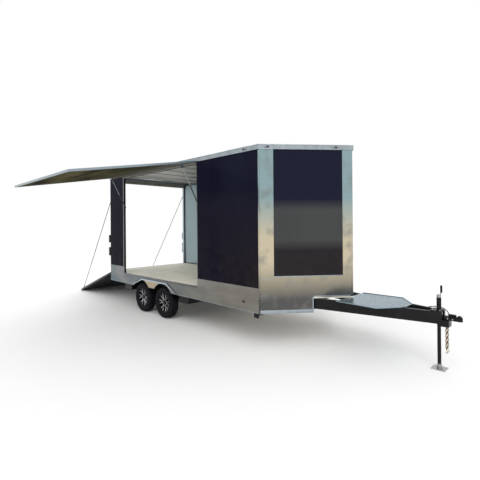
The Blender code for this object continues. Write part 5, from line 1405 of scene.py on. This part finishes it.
# %% Ramp edges and flap hinge
RAMP_HINGE = Vector((-7.872, 0, 0.845))
RAMP_SLOPE = radians(19.261)
RAMP_HALF, RAMP_TOP, FLAP_START = 1.190, 0.025, 2.330
RAMP_START = 0.030
KNUCKLES, KNUCKLE_GAP, KNUCKLE_RADIUS, KNUCKLE_SIDES = 24, 0.004, 0.0045, 10
LEAF_WIDTH = 0.035
hinge_half = RAMP_HALF - 0.02
down = Vector((-cos(RAMP_SLOPE), 0, -sin(RAMP_SLOPE)))
over = Vector((-sin(RAMP_SLOPE), 0, cos(RAMP_SLOPE)))
ramp_place = frame_of(down, over.cross(down), over, RAMP_HINGE)
edges = Batch("ramp_edges")
for side in SIDES.values():
    channel = (
        (RAMP_HALF + 0.0003, (-RAMP_TOP, RAMP_TOP + 0.0010)),
        (RAMP_HALF - 0.022, (RAMP_TOP + 0.0003, RAMP_TOP + 0.0012)),
    )
    for inner, heights in channel:
        across = sorted((side * inner, side * (RAMP_HALF + 0.0013)))
        edges.strip(ramp_place, (RAMP_START, FLAP_START), across, heights)
head_half = RAMP_HALF - 0.01
head = (RAMP_TOP + 0.0003, RAMP_TOP + 0.0012)
edges.strip(ramp_place, (0.024, 0.064), (-head_half, head_half), head)
ramp_edge_finish = black_paint("ramp_edge_paint", (0.06, 0.06, 0.065), 0.4, 0.2)
edges.piece(ramp_edge_finish, "ramp_door", 0.0003)
hinge = Batch("ramp_flap_hinge")
pitch = 2 * hinge_half / KNUCKLES
for index in range(KNUCKLES):
    start = -hinge_half + index * pitch
    ends = (start, start + pitch - KNUCKLE_GAP)
    points = [ramp_place @ Vector((FLAP_START, y, RAMP_TOP - 0.001)) for y in ends]
    hinge.tube(points, KNUCKLE_RADIUS, KNUCKLE_SIDES)
leaf = (RAMP_TOP + 0.0003, RAMP_TOP + 0.0018)
hinge.strip(ramp_place, (FLAP_START - LEAF_WIDTH, FLAP_START), (-hinge_half, hinge_half), leaf)
hinge.piece(zinc_finish, "ramp_door")

# %% [markdown]
# ## Ramp stays
#
# Each stay is wire rope between an eye on the post and an eye on the ramp, with a ferrule at either
# end. Strands are laid round each other, because a plain rod has too smooth an outline. The real
# stays fold as the ramp closes.

# %% Ramp stays
ROPE_RADIUS = 0.0085
STRANDS, LAY_LENGTH, STEPS_PER_TURN = 5, 0.05, 6
STRAND_CIRCLE, STRAND_RADIUS, STRAND_SIDES = 0.6 * ROPE_RADIUS, 0.42 * ROPE_RADIUS, 4
STAY_TOP_Y, STAY_END_Y = 1.2010, 1.173
STAY_REACH, STAY_RISE = 2.220, 0.054
# Each ferrule: where it starts and ends as shares of the stay, and its radius.
FERRULES = ((0.004, 0.020, 0.0086), (0.980, 0.996, 0.0100))
FERRULE_SIDES = 10


def wire_rope(batch, top, end):
    """Strands laid round each other between two points."""
    along = end - top
    steps = round(along.length / LAY_LENGTH * STEPS_PER_TURN)
    side = along.orthogonal().normalized()
    other = along.normalized().cross(side)
    for strand in range(STRANDS):
        line = []
        for step in range(steps + 1):
            angle = 2 * pi * (step / STEPS_PER_TURN + strand / STRANDS)
            aside = (side * cos(angle) + other * sin(angle)) * STRAND_CIRCLE
            line.append(top + along * (step / steps) + aside)
        batch.tube(line, STRAND_RADIUS, STRAND_SIDES)


for side_name, side in SIDES.items():
    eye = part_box("ramp_cable_" + side_name)[1]
    top = Vector((eye.x - 0.004, side * STAY_TOP_Y, eye.z - 0.002))
    end = RAMP_HINGE + down * STAY_REACH + over * STAY_RISE
    end.y = side * STAY_END_Y
    rope = Batch("ramp_stay_" + side_name)
    wire_rope(rope, top, end)
    for start_share, end_share, radius in FERRULES:
        ends = [top + (end - top) * share for share in (start_share, end_share)]
        rope.tube(ends, radius, FERRULE_SIDES)
    stay = rope.piece(cable_finish, "trailer")
    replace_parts(stay, "ramp_cable_" + side_name)
    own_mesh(stay)

# %% [markdown]
# ## Tread plate
#
# The step on the tongue is rolled tread plate, whose bars alternate by quarter turns. A bump in the
# finish would be lighter, but real bars keep their edges close up, and a bar is only a lozenge given
# a little thickness.

# %% Bars of the tread plate
BAR_LENGTH, BAR_WIDTH, BAR_PITCH = 0.0125, 0.0027, 0.024
BAR_HEIGHTS = (0.0002, 0.0012)
BAR_MARGIN = 0.012
RIM_OVER_PLATE = 0.008
BAR_ENDS, BAR_SIDES = (-1.362, -0.440), (-0.504, 0.504)
# The plate inside its rim: where its corners are along it, and half its width there.
PLATE_REAR, PLATE_REAR_HALF = -1.386, 0.480
PLATE_SIDE, PLATE_SIDE_HALF = -0.696, 0.520
PLATE_FRONT, PLATE_FRONT_HALF = -0.406, 0.120
plate_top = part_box("tongue_platform")[1].z - RIM_OVER_PLATE


def plate_half(x):
    """Half the plate's width at a place along it, inside the rim."""
    if x < PLATE_SIDE:
        share = (x - PLATE_REAR) / (PLATE_SIDE - PLATE_REAR)
        return PLATE_REAR_HALF + (PLATE_SIDE_HALF - PLATE_REAR_HALF) * share
    share = (x - PLATE_SIDE) / (PLATE_FRONT - PLATE_SIDE)
    return PLATE_SIDE_HALF + (PLATE_FRONT_HALF - PLATE_SIDE_HALF) * share


bars = Batch("tread_plate_bars")
lozenge = [(BAR_LENGTH, 0), (0, BAR_WIDTH), (-BAR_LENGTH, 0), (0, -BAR_WIDTH)]
for row, x in enumerate(rows(*BAR_ENDS, BAR_PITCH)):
    turn = Matrix.Rotation(pi / 4 if row % 2 else -pi / 4, 4, "Z")
    for column, y in enumerate(rows(*BAR_SIDES, BAR_PITCH)):
        if abs(y) < plate_half(x) - BAR_MARGIN and (row + column) % 2:
            bars.plate(lozenge, Matrix.Translation((x, y, plate_top)) @ turn, *BAR_HEIGHTS)
plate_finish = satin_metal("tread_plate", (0.26, 0.35, 0.41), 0.24)
dress(plate_finish, ["tongue_platform"])
bars.piece(plate_finish, "trailer")

# %% [markdown]
# ## Bolts and grip
#
# The jack's flange and the coupler are bolted to the tongue, and the crank ends in a ribbed rubber
# grip. The grip is one profile turned about its axis, and its ribs repeat, so they are written once.

# %% Bolts and grip
UP = (0, 0, 1)
FLANGE_BOLTS = ((-0.070, 0.070), (-0.070, -0.070), (0.030, 0.070), (0.030, -0.070))
FLANGE_TOP = 0.8633
BOLT_HEAD, BOLT_END = (0.011, 0.008, 6, 0.95), (0.006, 0.006, 10, 0.8)
COUPLER_BOLT = (0.0095, 0.009, 6, 0.95)
COUPLER_BOLTS = (0.125, 0.185)
COUPLER_BOLT_HEIGHT = 0.762
COUPLER_REAR, COUPLER_LENGTH, COUPLER_HALF, COUPLER_TAPER = 0.075, 0.187, 0.055, 0.015
GRIP_PLACE = (0, 0.120, 1.0975)
GRIP_RIBS, RIB_PITCH, GRIP_STEPS = 9, 0.0112, 24
# The radius and height of each corner, of a rib and of the grip's end.
GRIP_RIB = ((0.0142, 0), (0.0152, 0.0025), (0.0152, 0.0070), (0.0142, 0.0095))
GRIP_END = ((0.0120, 0.1030), (0.0001, 0.1040))


def tongue_bolts():
    """Bolts through the jack's flange and through the coupler's sides."""
    bolts = Batch("tongue_bolts")
    for x, y in FLANGE_BOLTS:
        bolts.stud((x, y, FLANGE_TOP), UP, *BOLT_HEAD)
        bolts.stud((x, y, FLANGE_TOP + BOLT_HEAD[1]), UP, *BOLT_END)
    for x in COUPLER_BOLTS:
        for side in SIDES.values():
            half = COUPLER_HALF - COUPLER_TAPER * (x - COUPLER_REAR) / COUPLER_LENGTH
            foot = (x, side * (half - 0.001), COUPLER_BOLT_HEIGHT)
            bolts.stud(foot, (0, side, 0), *COUPLER_BOLT)
    bolts.piece(zinc_finish, "trailer", 0.0008)


def crank_grip():
    """A ribbed rubber grip over the crank's end."""
    profile = [(0.0001, -0.001)]
    for index in range(GRIP_RIBS):
        profile += [(radius, index * RIB_PITCH + height) for radius, height in GRIP_RIB]
    grip = Batch("crank_grip")
    grip.turned(profile + list(GRIP_END), Matrix.Translation(GRIP_PLACE), GRIP_STEPS)
    grip.piece(seal_finish, "trailer")


tongue_bolts()
crank_grip()

# %% [markdown]
# ## Welds and latch
#
# Weld beads run round the jack where it meets its foot and flange. The coupler is locked by a flat
# lever on a cross pin, with a pull ring at one end. A lever this thin could be a box, but its rounded
# tip is what a hand reaches for.

# %% Welds and latch
# Each weld: its height and its radius.
WELDS = ((0.0095, 0.0350), (0.8645, 0.0330), (0.6515, 0.0320))
WELD_RADIUS, WELD_STEPS = 0.0022, 32
LEVER_HALF = ((0.110, -0.017), (0.205, -0.017), (0.222, -0.009))
LEVER_HEIGHTS = (0.8182, 0.8222)
LATCH_X, PIN_HALF, PIN_HEIGHT, PIN_RADIUS, PIN_SIDES = 0.150, 0.024, 0.806, 0.0045, 10
RING_Y, RING_HEIGHT, RING_RADIUS, RING_WIRE, RING_STEPS = 0.026, 0.794, 0.013, 0.0018, 20
WIRE_SIDES = 6


def jack_welds():
    """Weld beads round the foot's socket, under the flange and over it."""
    welds = Batch("jack_welds")
    for height, radius in WELDS:
        circle = [(radius * cos(angle), radius * sin(angle), height) for angle in turns(WELD_STEPS)]
        welds.tube(circle, WELD_RADIUS, WIRE_SIDES, closed=True)
    welds.piece(jack_finish, "trailer")


def coupler_latch():
    """The lever, its pin and its pull ring."""
    latch = Batch("coupler_latch_lever")
    outline = list(LEVER_HALF) + [(x, -y) for x, y in LEVER_HALF[::-1]]
    latch.plate(outline, Matrix(), *LEVER_HEIGHTS)
    latch.tube([(LATCH_X, y, PIN_HEIGHT) for y in (-PIN_HALF, PIN_HALF)], PIN_RADIUS, PIN_SIDES)
    circle = [(RING_RADIUS * sin(angle), RING_RADIUS * cos(angle)) for angle in turns(RING_STEPS)]
    points = [(LATCH_X + x, RING_Y, RING_HEIGHT + z) for x, z in circle]
    latch.tube(points, RING_WIRE, WIRE_SIDES, closed=True)
    latch.piece(black_finish, "trailer", 0.0008)


jack_welds()
coupler_latch()

# %% [markdown]
# ## Safety chains
#
# Two chains of round welded links hang from loops on the tongue's nose and end in hooks. The links
# of the CAD chains are simplified, so round ones take their place, each a quarter turn from the last.

# %% Safety chains
LINK_LENGTH, LINK_WIDTH, WIRE = 0.048, 0.033, 0.0052
LINK_PITCH = LINK_LENGTH - 2 * WIRE - 0.002
LINKS = 9
LINK_LEANS = (radians(-52), radians(38))
CHAIN_Y = 0.034
HOOK_AFTER, HOOK_DROP, HOOK_WIRE = 8.6, 0.010, 0.0042
HOOK = (
    (0, 0, 0.010), (0, 0, -0.004), (0.012, 0, -0.014), (0.016, 0, -0.028), (0.008, 0, -0.040),
    (-0.006, 0, -0.038), (-0.010, 0, -0.026),
)


def oval_link(batch, middle, flat):
    """A welded link: a round wire bent into an oval that hangs upright."""
    radius = LINK_WIDTH / 2 - WIRE
    straight = LINK_LENGTH / 2 - WIRE - radius
    line = []
    for end in (1, -1):
        for index in range(END_STEPS + 1):
            angle = -pi / 2 + pi * index / END_STEPS
            up = Vector(UP) * end * (straight + radius * cos(angle))
            line.append(middle + up + flat * radius * sin(angle) * end)
    batch.tube(line, WIRE, closed=True)


for side_name, side in SIDES.items():
    chain = Batch("chain_links_" + side_name)
    low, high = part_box("safety_chain_" + side_name)
    x, y = (low.x + high.x) / 2, side * CHAIN_Y
    top = high.z - LINK_LENGTH / 2
    for index in range(LINKS):
        lean = LINK_LEANS[index % 2]
        flat = Vector((cos(lean), sin(lean), 0))
        oval_link(chain, Vector((x, y, top - index * LINK_PITCH)), flat)
    end = Vector((x, y, top - HOOK_AFTER * LINK_PITCH - HOOK_DROP))
    chain.tube([end + point for point in smooth_route(HOOK, 2)], HOOK_WIRE)
    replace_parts(chain.piece(chain_finish, "trailer"), "safety_chain_" + side_name)

# %% [markdown]
# ## Rear posts
#
# Red lamp lenses sit low on the rear posts. The keepers that take the ramp's lock bars are bolted
# through, and a folded black guard stands beside each. The guards are thin folded sheet, so boxes
# with rounded edges are enough for them.

# %% Tail lamps, keeper bolts and guards
# Along X everything is measured from the body's rear.
TAIL_LENS = ((-0.0242, -0.018), (1.2252, 1.2592), (0.989, 1.146))
KEEPER_BOLT = (0.009, 0.006, 6, 0.95)
KEEPER_BOLT_X, KEEPER_BOLT_Y = -0.080, 1.2422
KEEPER_BOLT_HEIGHTS = (1.255, 1.505, 1.685, 1.835)
GUARD_X, GUARD_Y = (-0.100, -0.0145), (1.2645, 1.3030)
GUARD_HEIGHTS = ((1.290, 1.520), (1.655, 1.860))
body_rear = Matrix.Translation((rear_x, 0, 0))


def post_box(batch, side, x, y, z):
    """A box by a rear post, given as spans, with X measured from the body's rear."""
    batch.strip(body_rear, x, sorted(side * place for place in y), z)


tail = Batch("tail_lamp_lenses")
bolts = Batch("keeper_bolts")
guards = Batch("keeper_guards")
for side in SIDES.values():
    post_box(tail, side, *TAIL_LENS)
    for height in KEEPER_BOLT_HEIGHTS:
        foot = (rear_x + KEEPER_BOLT_X, side * KEEPER_BOLT_Y, height)
        bolts.stud(foot, (-1, 0, 0), *KEEPER_BOLT)
    for heights in GUARD_HEIGHTS:
        post_box(guards, side, GUARD_X, GUARD_Y, heights)
tail.piece(red_finish, "trailer", 0.0015)
bolts.piece(zinc_finish, "trailer", 0.0008)
guards.piece(black_finish, "trailer", 0.006)

# %% [markdown]
# ## Roof unit
#
# The shroud of the air conditioner is one moulding. Louvres open both of its ends, screws hold it
# down round its skirt, and a gasket lies under it. Slots could be cut in the CAD shroud, but black
# bars in its ends, painted shade for the slots, look the same from the ground.

# %% Louvres, gasket and screws
LOUVRES, LOUVRE_PITCH, LOUVRE_THICK, LOUVRE_HALF = 6, 0.018, 0.005, 0.20
LOUVRE_FOOT, LOUVRE_DEPTHS = 0.045, (0.034, 0.012)
GASKET_INSET, GASKET_RADIUS, GASKET_RISE = 0.02, 0.006, 0.004
UNIT_SCREW = (0.007, 0.003, 8)
UNIT_SCREW_SHARES, UNIT_SCREW_RISE = (-0.6, 0.0, 0.6), 0.022
unit_low, unit_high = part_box("roof_air_conditioner")
unit_middle = (unit_low + unit_high) / 2
half = (unit_high - unit_low) / 2
gasket_x, gasket_y = half.x - GASKET_INSET, half.y - GASKET_INSET
# Black bars paint the shade inside the louvre slots; they are not slats of their own.
slot_shade_bars = Batch("roof_unit_slot_shade")
for end in (-1, 1):
    face = unit_middle.x + end * half.x
    along = sorted(face - end * depth for depth in LOUVRE_DEPTHS)
    for index in range(LOUVRES):
        foot = unit_low.z + LOUVRE_FOOT + index * LOUVRE_PITCH
        across = (-LOUVRE_HALF, LOUVRE_HALF)
        slot_shade_bars.strip(Matrix(), along, across, (foot, foot + LOUVRE_THICK))
slot_shade_bars.piece(black_finish, "trailer", 0.0012)
gasket = Batch("roof_unit_gasket")
foot = Vector((unit_middle.x, unit_middle.y, unit_low.z + GASKET_RISE))
corners = ((gasket_x, gasket_y), (-gasket_x, gasket_y), (-gasket_x, -gasket_y), (gasket_x, -gasket_y))
gasket.tube([foot + Vector((x, y, 0)) for x, y in corners], GASKET_RADIUS, closed=True)
gasket.piece(seal_finish, "trailer")
caps = Batch("roof_unit_screws")
for end in (-1, 1):
    for share in UNIT_SCREW_SHARES:
        place = (unit_middle.x + share * gasket_x, end * half.y, unit_low.z + UNIT_SCREW_RISE)
        caps.stud(place, (0, end, 0), *UNIT_SCREW)
caps.piece(zinc_finish, "trailer")

# %% [markdown]
# ## Roof sealant
#
# A bead of sealant runs along the joint between the roof sheet and its edge, down both sides and
# round the nose. A real bead is laid by hand and wanders, but from the ground an even one is enough.

# %% Roof sealant
SEALANT_RADIUS, SEALANT_OUT, SEALANT_RISE, SEALANT_SIDES = 0.004, 0.004, 0.001, 6
sealant = Batch("roof_sealant")
for side in SIDES.values():
    y, z = side * (half_width + SEALANT_OUT), edge_top + SEALANT_RISE
    corner = Vector((corner_x, y, z))
    nose_end = corner + nose_frame(side).to_3x3() @ Vector((nose_length - 0.07, 0, 0))
    sealant.tube([(rear_x + 0.01, y, z), corner, nose_end], SEALANT_RADIUS, SEALANT_SIDES)
sealant.piece(plastic_finish, "trailer")

# %% [markdown]
# ## The end
#

# %% Finish
print("done")
